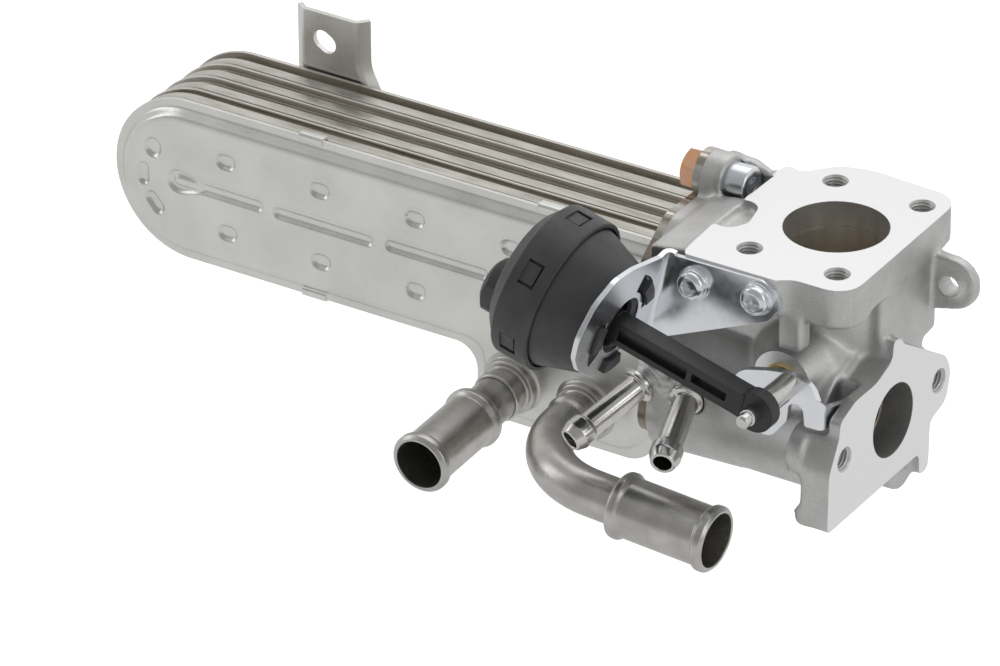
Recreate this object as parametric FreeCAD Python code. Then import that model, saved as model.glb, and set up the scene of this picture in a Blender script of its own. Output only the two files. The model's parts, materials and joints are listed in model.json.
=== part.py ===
import FreeCAD, Part
import math
import os

from FreeCAD import Placement, Rotation, Vector

# A plate cooler for recirculated exhaust gas with its bypass flap housing.
# Millimetres. The origin is the centre of the upper port on its machined face,
# X points to the two-bolt port, Y to the back and Z up.

# Sheet, bolts and running gaps
m8_tap_radius = 3.4
m8_shank_radius = 3.9
m8_clear_radius = 4.3
m8_head_radius = 6.5
m8_head_height = 8.0
m8_across_flats = 13.0
m8_nut_height = 6.5
m8_key_flats = 6.0
m8_key_depth = 4.0
tap_depth = 16.0
chamfer = 1.2
running_clearance = 0.04
free_clearance = 0.3

# Upper port of the casting
port_bore_radius = 18.25
port_spigot_depth = 9.5
neck_bore_radius = 17.85
port_bolt_x = 17.1
port_bolt_y = 28.3
port_thickness = 14.0
port_left = -36.6
port_right = 28.2
port_front = -39.7
port_back = 41.3
port_wall = 6.25
hollow_floor_z = -3.8
web_left_z = -3.9
web_right_z = -1.6
web_front_y = -38.0
web_depth = 8.0
bore_depth = 75.0

# Right port of the casting
side_face_x = 30.0
side_thickness = 11.5
side_bore_radius = 13.4
side_spigot_depth = 12.0
side_neck_radius = 13.0
side_bore_y = -11.5
side_bore_z = -60.6
side_bolt_back_y = 19.5
side_bolt_front_y = -43.8
side_bolt_z = -60.2
side_boss_radius = 10.5
side_boss_length = 6.0
side_bridge_length = 12.0
side_lobe = (3.0, -87.4)
side_lobe_radius = 8.4
tab_pocket_x = 25.2

# Trunk of the casting, a round box that runs along X
trunk_y = -12.0
trunk_z = -63.0
trunk_radius = 28.0
trunk_left_front = -30.0
trunk_left_back = 20.0
trunk_left_bottom = -93.0
trunk_left_top = -36.0
trunk_left_corner = 14.0
trunk_taper_x = -20.0
chest_front = -22.0
chest_back = 33.0
chest_top = -8.0
chest_bottom = -86.0

# Ear at the right of the casting
ear_x = 33.6
ear_z = -21.9
ear_front_y = 19.8
ear_thickness = 5.0
ear_radius = 9.6
ear_hole_radius = 4.0
ear_root_x = 18.0

# Cooler joint
joint_x = -59.5
cooler_flange_thickness = 2.5
gasket_thickness = 0.5
housing_flange_thickness = 7.0
upper_ear = (12.5, -1.3)
lower_ear = (-22.5, -76.0)
rear_ear = (41.0, -70.0)
joint_ear_radius = 9.0
lug_thickness = 7.9
lower_screw_end = 1.5
throat_x = -10.0
throat_back = 17.3
throat_top = -10.5
throat_half = 14.25
window_front = -8.0
window_back = 27.0
upper_window = (-46.5, -24.0)
lower_window = (-76.5, -53.5)

# Cooler core
core_radius = 31.5
core_middle_z = -50.0
core_end_x = -259.0
core_lip_y = -12.0
core_pitch = 10.9
core_layers = 4
panel_rise = 3.0
panel_inset = 4.6
cover_sheet = 1.5
lobe_left_x = -121.0
lobe_right_x = -80.0
lobe_z = -91.0
lobe_radius = 16.5
lobe_fillet = 9.0
lip_sheet = 1.3
neck_inset = 1.4
neck_width = 0.9
band_inset = 0.4
band_width = 5.2
shoulder_inset = 2.4
channel_wall = 1.3
channel_edge = 4.0
divider_half = 2.5
divider_length = 165.0
fin_sheet = 0.6
fin_pitch = 4.2
fin_edge = 1.5
manifold_radius = 6.5

# Embossings of the front cover
dimple_length = 7.0
dimple_width = 5.0
dimple_depth = 1.6
dimple_row_upper = -36.3
dimple_row_lower = -64.7
dimple_first_x = -240.8
dimple_pitch = 39.9
dimple_count = 4
rib_width = 4.6
rib_first_x = -258.5
rib_length = 42.3
rib_pitch = 47.4
rib_count = 3
rib_head_radius = 4.2

# Rear tab
tab_thickness = 2.0
tab_left_x = -239.2
tab_width = 22.1
tab_left_wing = (-3.3, 2.4)
tab_right_wing = (3.3, 3.9)
tab_foot_flare = 8.0
tab_top_z = 4.5
tab_shoulder_z = -17.0
tab_foot_z = -34.0
tab_hole = (tab_left_x + 9.1, tab_top_z - 10.9)
tab_hole_radius = 3.7
tab_hole_spread = 1.2
tab_hole_turn_deg = 31.0

# Coolant pipes
pipe_radius = 8.3
pipe_wall = 1.0
straight_foot = Vector(lobe_left_x, -14.0, -90.0)
straight_mouth = Vector(-121.0, -75.0, -93.4)
straight_sleeve_radius = 10.0
straight_sleeve_length = 38.0
elbow_foot = Vector(-91.0, -14.0, -91.0)
elbow_corner = Vector(-91.3, -60.0, -91.0)
elbow_mouth = Vector(-10.0, -60.0, -96.3)
elbow_bend_radius = 31.0
elbow_sleeve_radius = 10.75
elbow_sleeve_length = 40.0
elbow_foot_bead_start = 9.0
elbow_foot_bead_end = 12.0
pipe_bead = 1.2
bead_length = 2.6
shoulder_length = 3.0
collar_radius = 10.6
collar_length = 3.6

# Coolant nipples
nipple_radius = 4.5
nipple_bore_radius = 3.2
nipple_ring_radius = 6.3
nipple_barb_radius = 5.6
nipple_seat = 12.0
nipple_reach = 32.0
nipple_ring_width = 1.6
nipple_barb_start = 8.6
nipple_barb_crest = 6.6
nipple_barb_end = 3.2
left_nipple_ring = Vector(-54.3, -38.9, -59.4)
left_nipple_way = Vector(-0.31, -0.895, -0.33)
right_nipple_ring = Vector(-36.0, -38.0, -60.0)
right_nipple_way = Vector(0.28, -0.93, -0.235)

# Flap, shaft and lever
shaft_z = -43.0
shaft_radius = 4.0
flap_play = 0.35
flap_radius = neck_bore_radius - flap_play
flap_thickness = 2.4
shaft_front_y = -49.4
shaft_rear_y = 27.0
boss_face_y = -35.0
boss_radius = 10.8
boss_root_radius = 17.0
boss_root_y = -26.0
bush_radius = 5.8
bush_front_y = -36.2
bush_length = 15.0
rear_bush_radius = 6.4
rear_bush_length = 9.0
rear_boss_radius = 11.0
rear_boss_y = 31.0
flap_screw_radius = 1.9
flap_screw_head_radius = 3.3
flap_screw_head_height = 1.2
flap_screw_spacing = 17.0

lever_front_y = -49.0
lever_thickness = 2.5
lever_arm_x = 11.0
lever_arm_z = 8.7
lever_hub_radius = 10.0
lever_tab_length = 20.0
lever_slot_left = 11.0
lever_slot_right = 16.6
lever_slot_top = 0.9

pin_radius = 3.0
pin_spacer_radius = 4.4
pin_tip_y = -76.0
pin_point_radius = 2.5
pin_point_y = -80.0
pin_point_round = 1.6

# Rod; everything that follows the rod's line is set out from the pin
rod_y = -67.0
rod_tilt_deg = 15.1
rod_eye_radius = 7.3
rod_eye_thickness = 5.0
rod_eye_shift = -2.3
rod_stem_shift = -1.5
rod_height = 9.0
rod_web = 3.0
rod_rail = 2.2
rod_width = 7.4
rod_end = 61.0
rod_slot_start = 11.0
rod_slot_length = 14.0

# Bracket of the actuator
bracket_sheet = 1.8
bracket_back_y = -43.2
bracket_screws_at = ((-28.4, -8.9), (-3.7, -7.5))
bracket_screw_radius = 2.5
bracket_screw_head_radius = 5.2
bracket_screw_head_height = 3.4
bracket_washer_radius = 6.0
bracket_washer_thickness = 1.0
bracket_hole_radius = 2.8
bracket_screw_depth = 9.0
bracket_face_at = 57.0
bracket_bend_radius = 3.4
bracket_window_radius = 10.5
bracket_leg_reach = 62.0
bracket_blank_half = 60.0
bracket_blank_width = 130.0
bayonet_inner = 12.6
bayonet_outer = 19.2
bayonet_angle_deg = 62.0

# Actuator, measured along the rod from the pin
can_front = bracket_face_at + bracket_sheet
can_front_radius = 19.8
can_rim_at = 76.5
can_rim_radius = 25.8
can_wall = 1.6
cap_radius = 28.2
cap_back = 90.6
dome_radius = 26.6
dome_back = 96.0
dome_back_radius = 21.5
cap_wall = 2.2
rear_boss_offset = 11.0
rear_boss_back = 107.0
rear_hub_radius = 9.5
snap_window_count = 6
snap_window_turn_deg = 8.0
snap_window_width = 9.0
snap_window_length = 6.2
snap_window_depth = 1.0
snap_window_at = 80.8
vacuum_nipple_radius = 2.6
vacuum_nipple_bore = 1.3
vacuum_nipple_reach = 30.0
diaphragm_sheet = 0.9
plate_front = 62.0
plate_radius = 15.0
plate_sheet = 1.4
plate_depth = 7.0
spring_wire_radius = 0.9
spring_radius = 9.5
spring_turns = 5


def on_x(x):
    """Place outline points (y, z) in the plane at x."""
    return lambda a, b: Vector(x, a, b)


def on_y(y):
    """Place outline points (x, z) in the plane at y."""
    return lambda a, b: Vector(a, y, b)


def on_z(z):
    """Place outline points (x, y) in the plane at z."""
    return lambda a, b: Vector(a, b, z)


def rounded_wire(corners, place):
    """Closed wire through corners (a, b, radius), each rounded by a tangent arc."""
    points = [place(a, b) for a, b, radius in corners]
    count = len(points)
    arcs = []
    for i in range(count):
        here = points[i]
        before = points[i - 1] - here
        after = points[(i + 1) % count] - here
        room = 0.499 * min(before.Length, after.Length)
        before.normalize()
        after.normalize()
        opening = before.getAngle(after)
        trim = min(corners[i][2] / math.tan(opening / 2), room)
        radius = trim * math.tan(opening / 2)
        start = here + before * trim
        end = here + after * trim
        inward = before + after
        if trim < 1e-6 or inward.Length < 1e-6:
            arcs.append((here, here, here))
            continue
        inward.normalize()
        middle = here + inward * (radius / math.sin(opening / 2) - radius)
        arcs.append((start, middle, end))
    edges = []
    for i in range(count):
        start, middle, end = arcs[i]
        if start.distanceToPoint(end) > 1e-6:
            edges.append(Part.Arc(start, middle, end).toShape())
        following = arcs[(i + 1) % count][0]
        if end.distanceToPoint(following) > 1e-6:
            edges.append(Part.LineSegment(end, following).toShape())
    return Part.Wire(edges)


def prism(corners, place, along):
    """Straight prism of a rounded outline."""
    return Part.Face(rounded_wire(corners, place)).extrude(along)


def rod_between(start, end, radius):
    """Round bar from one point to another."""
    return Part.makeCylinder(radius, (end - start).Length, start, end - start)


def along_x(radius, x0, x1, y, z):
    """Round bar along X."""
    return rod_between(Vector(x0, y, z), Vector(x1, y, z), radius)


def along_y(radius, y0, y1, x, z):
    """Round bar along Y."""
    return rod_between(Vector(x, y0, z), Vector(x, y1, z), radius)


def block(x0, x1, y0, y1, z0, z1):
    """Rectangular block between two corners."""
    return Part.makeBox(x1 - x0, y1 - y0, z1 - z0, Vector(x0, y0, z0))


def joined(shapes):
    """One shape from overlapping ones, fused one after the other."""
    body = shapes[0]
    for shape in shapes[1:]:
        body = body.fuse(shape)
    return body.removeSplitter()


def drilled(body, cuts):
    """Body without the cuts, taken away one after the other."""
    for cut in cuts:
        body = body.cut(cut)
    return body


def turned(corners):
    """Solid of revolution about Z from an outline (radius, height, rounding)."""
    face = Part.Face(rounded_wire(corners, lambda r, h: Vector(r, 0, h)))
    return face.revolve(Vector(0, 0, 0), Vector(0, 0, 1), 360)


def aimed(shape, start, way):
    """Move a shape made along Z so that it starts at a point and runs along a direction."""
    moved = shape.copy()
    moved.Placement = Placement(start, Rotation(Vector(0, 0, 1), way)).multiply(shape.Placement)
    return moved


def hexagon_bar(flats, length):
    """Hexagonal bar along Z from the origin."""
    radius = flats / math.sqrt(3)
    corners = [(radius * math.cos(k * math.pi / 3), radius * math.sin(k * math.pi / 3), 0) for k in range(6)]
    return prism(corners, on_z(0), Vector(0, 0, length))


rod_tilt = math.radians(rod_tilt_deg)
pin_x = lever_arm_x
pin_z = shaft_z + lever_arm_z
rod_way = Vector(-math.cos(rod_tilt), 0, math.sin(rod_tilt))
rod_up = Vector(math.sin(rod_tilt), 0, math.cos(rod_tilt))
rod_frame = Placement(Vector(pin_x, rod_y, pin_z), Rotation(rod_up, Vector(0, 1, 0), rod_way, "ZXY"))


def on_rod(shape):
    """Move a shape from the rod's own frame (up, back, along) into place."""
    moved = shape.copy()
    moved.Placement = rod_frame.multiply(shape.Placement)
    return moved


gasket_x = joint_x + cooler_flange_thickness
housing_x = gasket_x + gasket_thickness
housing_back_x = housing_x + housing_flange_thickness
lug_x = housing_x + lug_thickness
joint_ears = (upper_ear, lower_ear, rear_ear)
core_back_y = core_lip_y + core_pitch * core_layers
rear_bush_back = shaft_rear_y + 1.0


def joint_outline(place, along):
    """Outline shared by both flanges and the gasket of the cooler joint."""
    top = core_middle_z + core_radius
    bottom = core_middle_z - core_radius
    front = core_lip_y - 18.0
    back = core_back_y + 8.0
    corners = [
        (front, top + 1.5, 5), (-14.0, top + 13.0, 6), (upper_ear[0] + 6.5, top + 13.0, 8),
        (back, top + 2.0, 12), (back, bottom - 6.0, 12), (-14.0, bottom - 6.0, 8),
        (lower_ear[0] - 3.0, lower_ear[1] - 6.0, 4), (front, core_middle_z - 18.0, 6)]
    plate = prism(corners, place, along)
    ears = []
    for y, z in joint_ears:
        ears.append(Part.makeCylinder(joint_ear_radius, along.Length, place(y, z), along))
    return joined([plate] + ears)


def joint_windows(place, along, grow):
    """The two gas windows of the joint."""
    cuts = []
    for low, high in (upper_window, lower_window):
        corners = [
            (window_front - grow, low - grow, 5), (window_back + grow, low - grow, 5),
            (window_back + grow, high + grow, 5), (window_front - grow, high + grow, 5)]
        cuts.append(prism(corners, place, along))
    return cuts


def top_port_plate():
    """Plate of the upper port, with a hump at its back."""
    corners = [
        (port_right, port_front, 9), (7.0, port_front, 5), (2.0, bracket_back_y, 4),
        (port_left + 1.8, bracket_back_y, 3), (port_left, -19.4, 8), (port_left - 0.5, 30.5, 4),
        (-30.5, 27.0, 3), (-21.0, 38.5, 8), (-10.0, port_back, 9), (25.8, port_back - 2.0, 10)]
    return prism(corners, on_z(-port_thickness), Vector(0, 0, port_thickness))


def cast_hollow():
    """Shallow hollow left by the mould in the left part of the upper plate."""
    corners = [
        (port_left - 0.6, -19.5, 3), (-30.5, -20.5, 5), (-26.6, -13.5, 4), (-29.5, -1.0, 5),
        (port_left - 0.6, 1.5, 3)]
    return prism(corners, on_z(hollow_floor_z), Vector(0, 0, -hollow_floor_z + 1.0))


def side_port_plate():
    """Plate of the two-bolt port, with its pointed tip, front foot and rear tail."""
    corners = [
        (-12.0, -28.8, 2), (-6.3, -31.5, 2), (-5.0, -34.0, 2), (24.0, -52.4, 7), (27.8, -59.6, 9),
        (24.6, -70.4, 5), (13.9, -73.0, 3), (13.2, -91.4, 3), (7.0, -91.4, 1.5), (6.8, -82.6, 2),
        (-54.7, -84.1, 1.2),
        (-53.9, -62.0, 8), (-47.4, -50.3, 2), (-46.8, -44.7, 2.5), (-36.8, -41.1, 6),
        (-23.0, -40.9, 7), (-12.1, -36.8, 4)]
    return prism(corners, on_x(side_face_x), Vector(-side_thickness, 0, 0))


def side_port_bosses():
    """Bolt bosses, hooked foot and rounded lobe behind the two-bolt port."""
    back_x = side_face_x - side_thickness
    front = along_x(side_boss_radius, back_x - side_boss_length, back_x, side_bolt_front_y, side_bolt_z)
    rear_y = side_bolt_back_y - 2.0
    rear = along_x(side_boss_radius - 1.0, back_x - side_boss_length, back_x, rear_y, side_bolt_z)
    bridge = block(back_x - side_bridge_length, back_x, side_bolt_front_y + 5.0, trunk_y, side_bolt_z - 9.0,
                   side_bolt_z + 7.0)
    foot = prism(
        [(back_x + 2.0, -72.0, 0), (back_x + 1.0, -74.5, 2), (back_x - 2.5, -79.0, 2),
         (back_x - 1.5, -84.0, 3), (back_x + 3.0, -84.6, 0)],
        on_y(-54.5), Vector(0, 9.0, 0))
    lobe = along_x(side_lobe_radius, back_x - 8.0, side_face_x - 4.0, side_lobe[0], side_lobe[1])
    return [front, rear, bridge, foot, lobe]


def trunk():
    """Lower trunk, round at the right and a rounded box where it meets the cooler joint."""
    def section(x, front, back, bottom, top, corner):
        return rounded_wire(
            [(front, bottom, corner), (back, bottom, corner), (back, top, corner), (front, top, corner)],
            on_x(x))
    left = section(
        housing_x, trunk_left_front, trunk_left_back, trunk_left_bottom, trunk_left_top, trunk_left_corner)
    size = trunk_radius
    right = section(
        trunk_taper_x, trunk_y - size, trunk_y + size, trunk_z - size, trunk_z + size, size * 0.97)
    taper = Part.makeLoft([left, right], True, True)
    barrel = along_x(trunk_radius, trunk_taper_x, side_face_x - side_thickness, trunk_y, trunk_z)
    return [taper, barrel]


def chest():
    """Rounded box around the gas windows, from the cooler joint to the neck."""
    middle = (chest_front + chest_back) / 2
    corners = [
        (chest_front, chest_bottom, 12), (chest_back, chest_bottom, 12), (chest_back, chest_top - 6.0, 14),
        (middle, chest_top, 10), (chest_front, chest_top - 6.0, 8)]
    wide = rounded_wire(corners, on_x(housing_x))
    neck_radius = port_bore_radius + port_wall
    ratio = 2 * neck_radius / (chest_back - chest_front)
    narrow = [((y - middle) * ratio, z, r * ratio) for y, z, r in corners]
    return Part.makeLoft([wide, rounded_wire(narrow, on_x(-8.0))], True, True)


def right_wall():
    """Flat right wall between the two ports, with the groove that runs down it."""
    wall_x = port_right - 2.2
    corners = [(-13.0, -port_thickness + 2.0, 0), (22.0, -port_thickness + 2.0, 0), (22.0, -36.0, 3),
               (12.0, -50.0, 3), (-13.0, -50.0, 2)]
    return prism(corners, on_x(0.0), Vector(wall_x, 0, 0))


def ear_plate():
    """Ear with its hole at the right of the casting."""
    back = Vector(0, ear_thickness, 0)
    web = prism(
        [(ear_root_x, ear_z + 11.5, 0), (ear_x - 10.1, ear_z + 10.5, 2), (ear_x + 2.0, ear_z + 9.4, 1),
         (ear_x + 2.0, ear_z - 9.4, 1), (ear_x - 9.8, ear_z - 12.2, 2), (ear_root_x, ear_z - 12.2, 0)],
        on_y(ear_front_y), back)
    end = along_y(ear_radius, ear_front_y, ear_front_y + ear_thickness, ear_x, ear_z)
    gusset = prism(
        [(ear_root_x, -33.0, 0), (25.5, -33.0, 1), (25.5, -42.0, 3), (ear_root_x, -52.0, 0)],
        on_y(ear_front_y - ear_thickness), back + back)
    return [web, end, gusset]


def joint_lugs():
    """Thick lugs behind the three joint ears, and the wall that braces the upper one."""
    lugs = [along_x(joint_ear_radius, housing_x, lug_x, y, z) for y, z in joint_ears]
    lower_web = block(housing_x, lug_x, lower_ear[0], trunk_y, lower_ear[1] - 7.0, lower_ear[1] + 8.0)
    rear_web = block(housing_x, lug_x, 20.0, rear_ear[0], rear_ear[1] - 8.0, rear_ear[1] + 8.0)
    upper_web = block(housing_x, lug_x, upper_ear[0] - joint_ear_radius, upper_ear[0] + joint_ear_radius,
                      chest_top - 8.0, upper_ear[1])
    brace_front = upper_ear[0] + joint_ear_radius / 2
    brace = prism(
        [(housing_x, -14.0, 0), (housing_x, 4.0, 2), (lug_x + 3.5, 3.2, 3), (port_left - 0.8, -0.4, 1),
         (port_left + 10.0, -0.4, 0), (port_left + 10.0, -14.0, 0)],
        on_y(brace_front), Vector(0, 7.0, 0))
    web_left = housing_back_x - 1.5
    web = prism(
        [(web_left, web_left_z - web_depth, 2), (web_left, web_left_z, 1.5), (port_left, web_right_z, 0),
         (port_left + 6.0, web_right_z, 0), (port_left + 6.0, web_left_z - web_depth, 0)],
        on_y(web_front_y), Vector(0, upper_ear[0] - web_front_y, 0))
    return lugs + [lower_web, rear_web, upper_web, brace, web]


def front_bosses():
    """Shaft boss, bracket pads and the small faceted boss on the front of the casting."""
    cone = turned([(0, 0, 0), (boss_root_radius + 2.0, 0, 0), (boss_root_radius, boss_root_y * -1 - 14.0, 3),
                   (boss_radius, -boss_face_y - 14.0, 1.2), (0, -boss_face_y - 14.0, 0)])
    shaft_boss = aimed(cone, Vector(0, -14.0, shaft_z), Vector(0, -1, 0))
    rear_boss = along_y(rear_boss_radius, 10.0, rear_boss_y, 0, shaft_z)
    pads = []
    for x, z in bracket_screws_at:
        pads.append(along_y(7.5, bracket_back_y, -14.0, x, z))
    faceted = prism([(1.2, -33.0, 2), (10.6, -33.0, 2), (10.6, -41.0, 1.6), (1.2, -41.0, 1.6)], on_z(-27.0),
                    Vector(0, 0, 14.0))
    corner_boss = Part.makeCylinder(11.0, 9.0, Vector(port_bolt_x, -port_bolt_y, -port_thickness - 2.0))
    return [shaft_boss, rear_boss, faceted, corner_boss] + pads


def nipple_way(way):
    """Unit direction of a nipple."""
    unit = Vector(way)
    unit.normalize()
    return unit


def flap_housing():
    """The casting: ports, trunk, chest, bosses and lugs, then the channels and holes."""
    neck = Part.makeCylinder(port_bore_radius + port_wall, bore_depth - 3.0, Vector(0, 0, -bore_depth - 3.0))
    flange = joint_outline(on_x(housing_x), Vector(housing_flange_thickness, 0, 0))
    nipple_bosses = []
    nipple_holes = []
    for ring, way in ((left_nipple_ring, left_nipple_way), (right_nipple_ring, right_nipple_way)):
        unit = nipple_way(way)
        seat = ring - unit * nipple_seat
        nipple_bosses.append(rod_between(seat - unit * 6.0, ring - unit * 4.5, nipple_radius + 3.0))
        nipple_holes.append(rod_between(seat, ring, nipple_radius))
        nipple_holes.append(rod_between(seat - unit * 8.0, seat, nipple_bore_radius))
        seat_floor = ring - unit * (nipple_ring_width + free_clearance)
        nipple_holes.append(rod_between(seat_floor, ring + unit * 6.0, nipple_ring_radius + free_clearance))
    body = joined(
        [top_port_plate(), neck, side_port_plate(), chest(), flange, right_wall()] + side_port_bosses()
        + trunk() + ear_plate() + joint_lugs() + front_bosses() + nipple_bosses)

    spigot_bore = Part.makeCylinder(port_bore_radius, port_spigot_depth, Vector(0, 0, -port_spigot_depth))
    neck_bore = Part.makeCylinder(neck_bore_radius, bore_depth, Vector(0, 0, -bore_depth))
    side_spigot_x = side_face_x - side_spigot_depth
    side_spigot = along_x(side_bore_radius, side_spigot_x, side_face_x, side_bore_y, side_bore_z)
    side_bore = along_x(side_neck_radius, -4.0, side_face_x, side_bore_y, side_bore_z)
    beyond_joint = block(housing_x - 30.0, housing_x, -60.0, 60.0, -110.0, 30.0)
    cuts = [beyond_joint, spigot_bore, neck_bore, side_spigot, side_bore, cast_hollow()]
    cuts.append(block(side_face_x - side_thickness - 1.0, tab_pocket_x, port_front - 16.0, trunk_y - 14.0,
                      shaft_z - 8.0, shaft_z + 10.0))
    passages = ((*upper_window, throat_back, throat_top), (*lower_window, throat_half, lower_window[1]))
    for low, high, back, top in passages:
        mouth = rounded_wire(
            [(window_front, low, 5), (window_back, low, 5), (window_back, high, 5), (window_front, high, 5)],
            on_x(housing_x))
        throat = rounded_wire(
            [(-throat_half, low, 5), (back, low, 5), (back, top, 5), (-throat_half, top, 5)],
            on_x(throat_x))
        cuts.append(Part.makeLoft([mouth, throat], True, True))
    for x in (-port_bolt_x, port_bolt_x):
        for y in (-port_bolt_y, port_bolt_y):
            cuts.append(Part.makeCylinder(m8_tap_radius, tap_depth, Vector(x, y, -tap_depth)))
            mouth_at = Vector(x, y, -chamfer)
            cuts.append(Part.makeCone(m8_tap_radius, m8_tap_radius + chamfer, chamfer, mouth_at))
    for y in (side_bolt_back_y, side_bolt_front_y):
        cuts.append(along_x(m8_tap_radius, side_face_x - tap_depth - 4.0, side_face_x, y, side_bolt_z))
        mouth_at = Vector(side_face_x - chamfer, y, side_bolt_z)
        cuts.append(Part.makeCone(
            m8_tap_radius, m8_tap_radius + chamfer, chamfer, mouth_at, Vector(1, 0, 0)))
    for y, z in joint_ears:
        cuts.append(along_x(m8_clear_radius, housing_x, lug_x, y, z))
        cuts.append(along_x(m8_head_radius + 1.2, lug_x, port_left - 0.1, y, z))
    cuts.append(along_y(bush_radius, bush_front_y, bush_front_y + bush_length, 0, shaft_z))
    cuts.append(along_y(shaft_radius + free_clearance, bush_front_y, shaft_rear_y + 1.0, 0, shaft_z))
    cuts.append(along_y(rear_bush_radius, rear_bush_back - rear_bush_length, rear_bush_back, 0, shaft_z))
    screw_hole_end = bracket_back_y + bracket_screw_depth + 2.0
    for x, z in bracket_screws_at:
        cuts.append(along_y(bracket_screw_radius, bracket_back_y, screw_hole_end, x, z))
    cuts.append(along_y(ear_hole_radius, ear_front_y, ear_front_y + ear_thickness, ear_x, ear_z))
    return drilled(body, cuts + nipple_holes)


def core_outline(inset, y, depth):
    """Stadium of the core with its lower lobe, drawn in by an inset, as a prism along Y."""
    radius = core_radius - inset
    low = core_middle_z - radius
    end_x = joint_x
    lobe_r = lobe_radius - inset
    left_x = core_end_x
    fillet = lobe_fillet + inset
    corners = [
        (end_x, core_middle_z + radius, 0), (left_x - radius, core_middle_z + radius, radius),
        (left_x - radius, low, radius), (lobe_left_x - lobe_r, low, fillet),
        (lobe_left_x - lobe_r, lobe_z - lobe_r, lobe_r), (lobe_right_x + lobe_r, lobe_z - lobe_r, lobe_r),
        (lobe_right_x + lobe_r, low, 2.0), (end_x, low, 0)]
    return prism(corners, on_y(y), Vector(0, depth, 0))


def dimple(x, z, length, width, turn_deg):
    """Elongated pad pressed in from the front panel, with sloping walls."""
    top = core_lip_y - panel_rise
    half = (length - width) / 2
    pocket = []
    for shrink, y in ((0.0, top - 0.5), (0.0, top), (0.9, top + dimple_depth)):
        radius = width / 2 - shrink
        corners = [(-half - radius, -radius, radius), (half + radius, -radius, radius),
                   (half + radius, radius, radius), (-half - radius, radius, radius)]
        pocket.append(rounded_wire(corners, on_y(y)))
    shape = Part.makeLoft(pocket, True, True)
    shape.Placement = Placement(Vector(x, 0, z), Rotation(Vector(0, 1, 0), turn_deg))
    return shape


def cooler_front_plate():
    """Front cover: flat lip, raised panel, and the pads and ribs pressed into it."""
    top = core_lip_y - panel_rise
    lip = core_outline(0.0, core_lip_y, cover_sheet)
    panel = core_outline(panel_inset, top, panel_rise + cover_sheet / 2)
    panel_front = [edge for edge in panel.Edges if abs(edge.CenterOfMass.y - top) < 1e-4]
    panel = panel.makeFillet(1.6, panel_front)
    cuts = []
    for k in range(dimple_count):
        x = dimple_first_x + k * dimple_pitch
        cuts.append(dimple(x, dimple_row_upper, dimple_length, dimple_width, 0.0))
        if k < dimple_count - 1:
            cuts.append(dimple(x, dimple_row_lower, dimple_length, dimple_width, 0.0))
    cuts.append(dimple(-273.0, -39.6, 5.4, 5.0, 0.0))
    cuts.append(dimple(-276.5, -50.2, 7.4, 3.6, 90.0))
    cuts.append(dimple(-271.6, -60.9, 7.8, 3.6, 55.0))
    for k in range(rib_count):
        x = rib_first_x + k * rib_pitch + rib_length / 2
        if k == 0:
            x = x - 3.0
        cuts.append(dimple(x, core_middle_z, rib_length - 7.0 * (k == 0), rib_width, 0.0))
    head_length = 2 * rib_head_radius
    cuts.append(dimple(rib_first_x + 3.0, core_middle_z - 0.5, head_length + 1.0, head_length, 0.0))
    for foot in (straight_foot, elbow_foot):
        behind = core_lip_y + cover_sheet + 1.0
        cuts.append(along_y(pipe_radius - pipe_wall, top - 1.0, behind, foot.x, foot.z))
    body = joined([lip, panel])
    return drilled(body, cuts)


def ahead_of_cover(shape):
    """Part of a shape in front of the raised panel."""
    front = core_lip_y - panel_rise
    return shape.cut(block(-200.0, 0.0, front, front + 20.0, -130.0, -60.0))


def shell_channel(y0, y1):
    """Gas channel of one shell: two passes that join at the far end, open at the joint."""
    inset = channel_edge
    radius = core_radius - inset
    corners = [
        (joint_x + 1.0, core_middle_z + radius, 0), (core_end_x - radius, core_middle_z + radius, radius),
        (core_end_x - radius, core_middle_z - radius, radius), (joint_x + 1.0, core_middle_z - radius, 0)]
    channel = prism(corners, on_y(y0), Vector(0, y1 - y0, 0))
    divider = block(joint_x - divider_length, joint_x + 2.0, y0, y1, core_middle_z - divider_half,
                    core_middle_z + divider_half)
    return channel.cut(divider)


def cooler_shell(k):
    """One pressed shell: lip, neck, flat band and shoulder, round a gas channel."""
    y0 = core_lip_y + cover_sheet + k * core_pitch
    start = y0 if k == 0 else y0 - cover_sheet
    steps = [core_outline(neck_inset, start, neck_width)]
    band_y = start + neck_width
    steps.append(core_outline(band_inset, band_y, band_width))
    shoulder_y = band_y + band_width
    end_y = core_lip_y + (k + 1) * core_pitch - lip_sheet
    steps.append(core_outline(shoulder_inset, shoulder_y, end_y - shoulder_y))
    if k < core_layers - 1:
        steps.append(core_outline(0.0, end_y, lip_sheet))
        end_y = end_y + lip_sheet
    body = joined(steps)
    channel = shell_channel(start + channel_wall, end_y - channel_wall)
    holes = []
    for x in (lobe_left_x, elbow_foot.x):
        holes.append(along_y(manifold_radius, start, end_y, x, lobe_z))
    return body.cut(joined([channel] + holes))


def cooler_back_plate():
    """Rear cover with a shallow raised panel."""
    y0 = core_back_y - lip_sheet
    lip = core_outline(0.0, y0, cover_sheet)
    panel = core_outline(panel_inset + 1.0, y0 + cover_sheet, 0.9)
    return joined([lip, panel])


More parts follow.
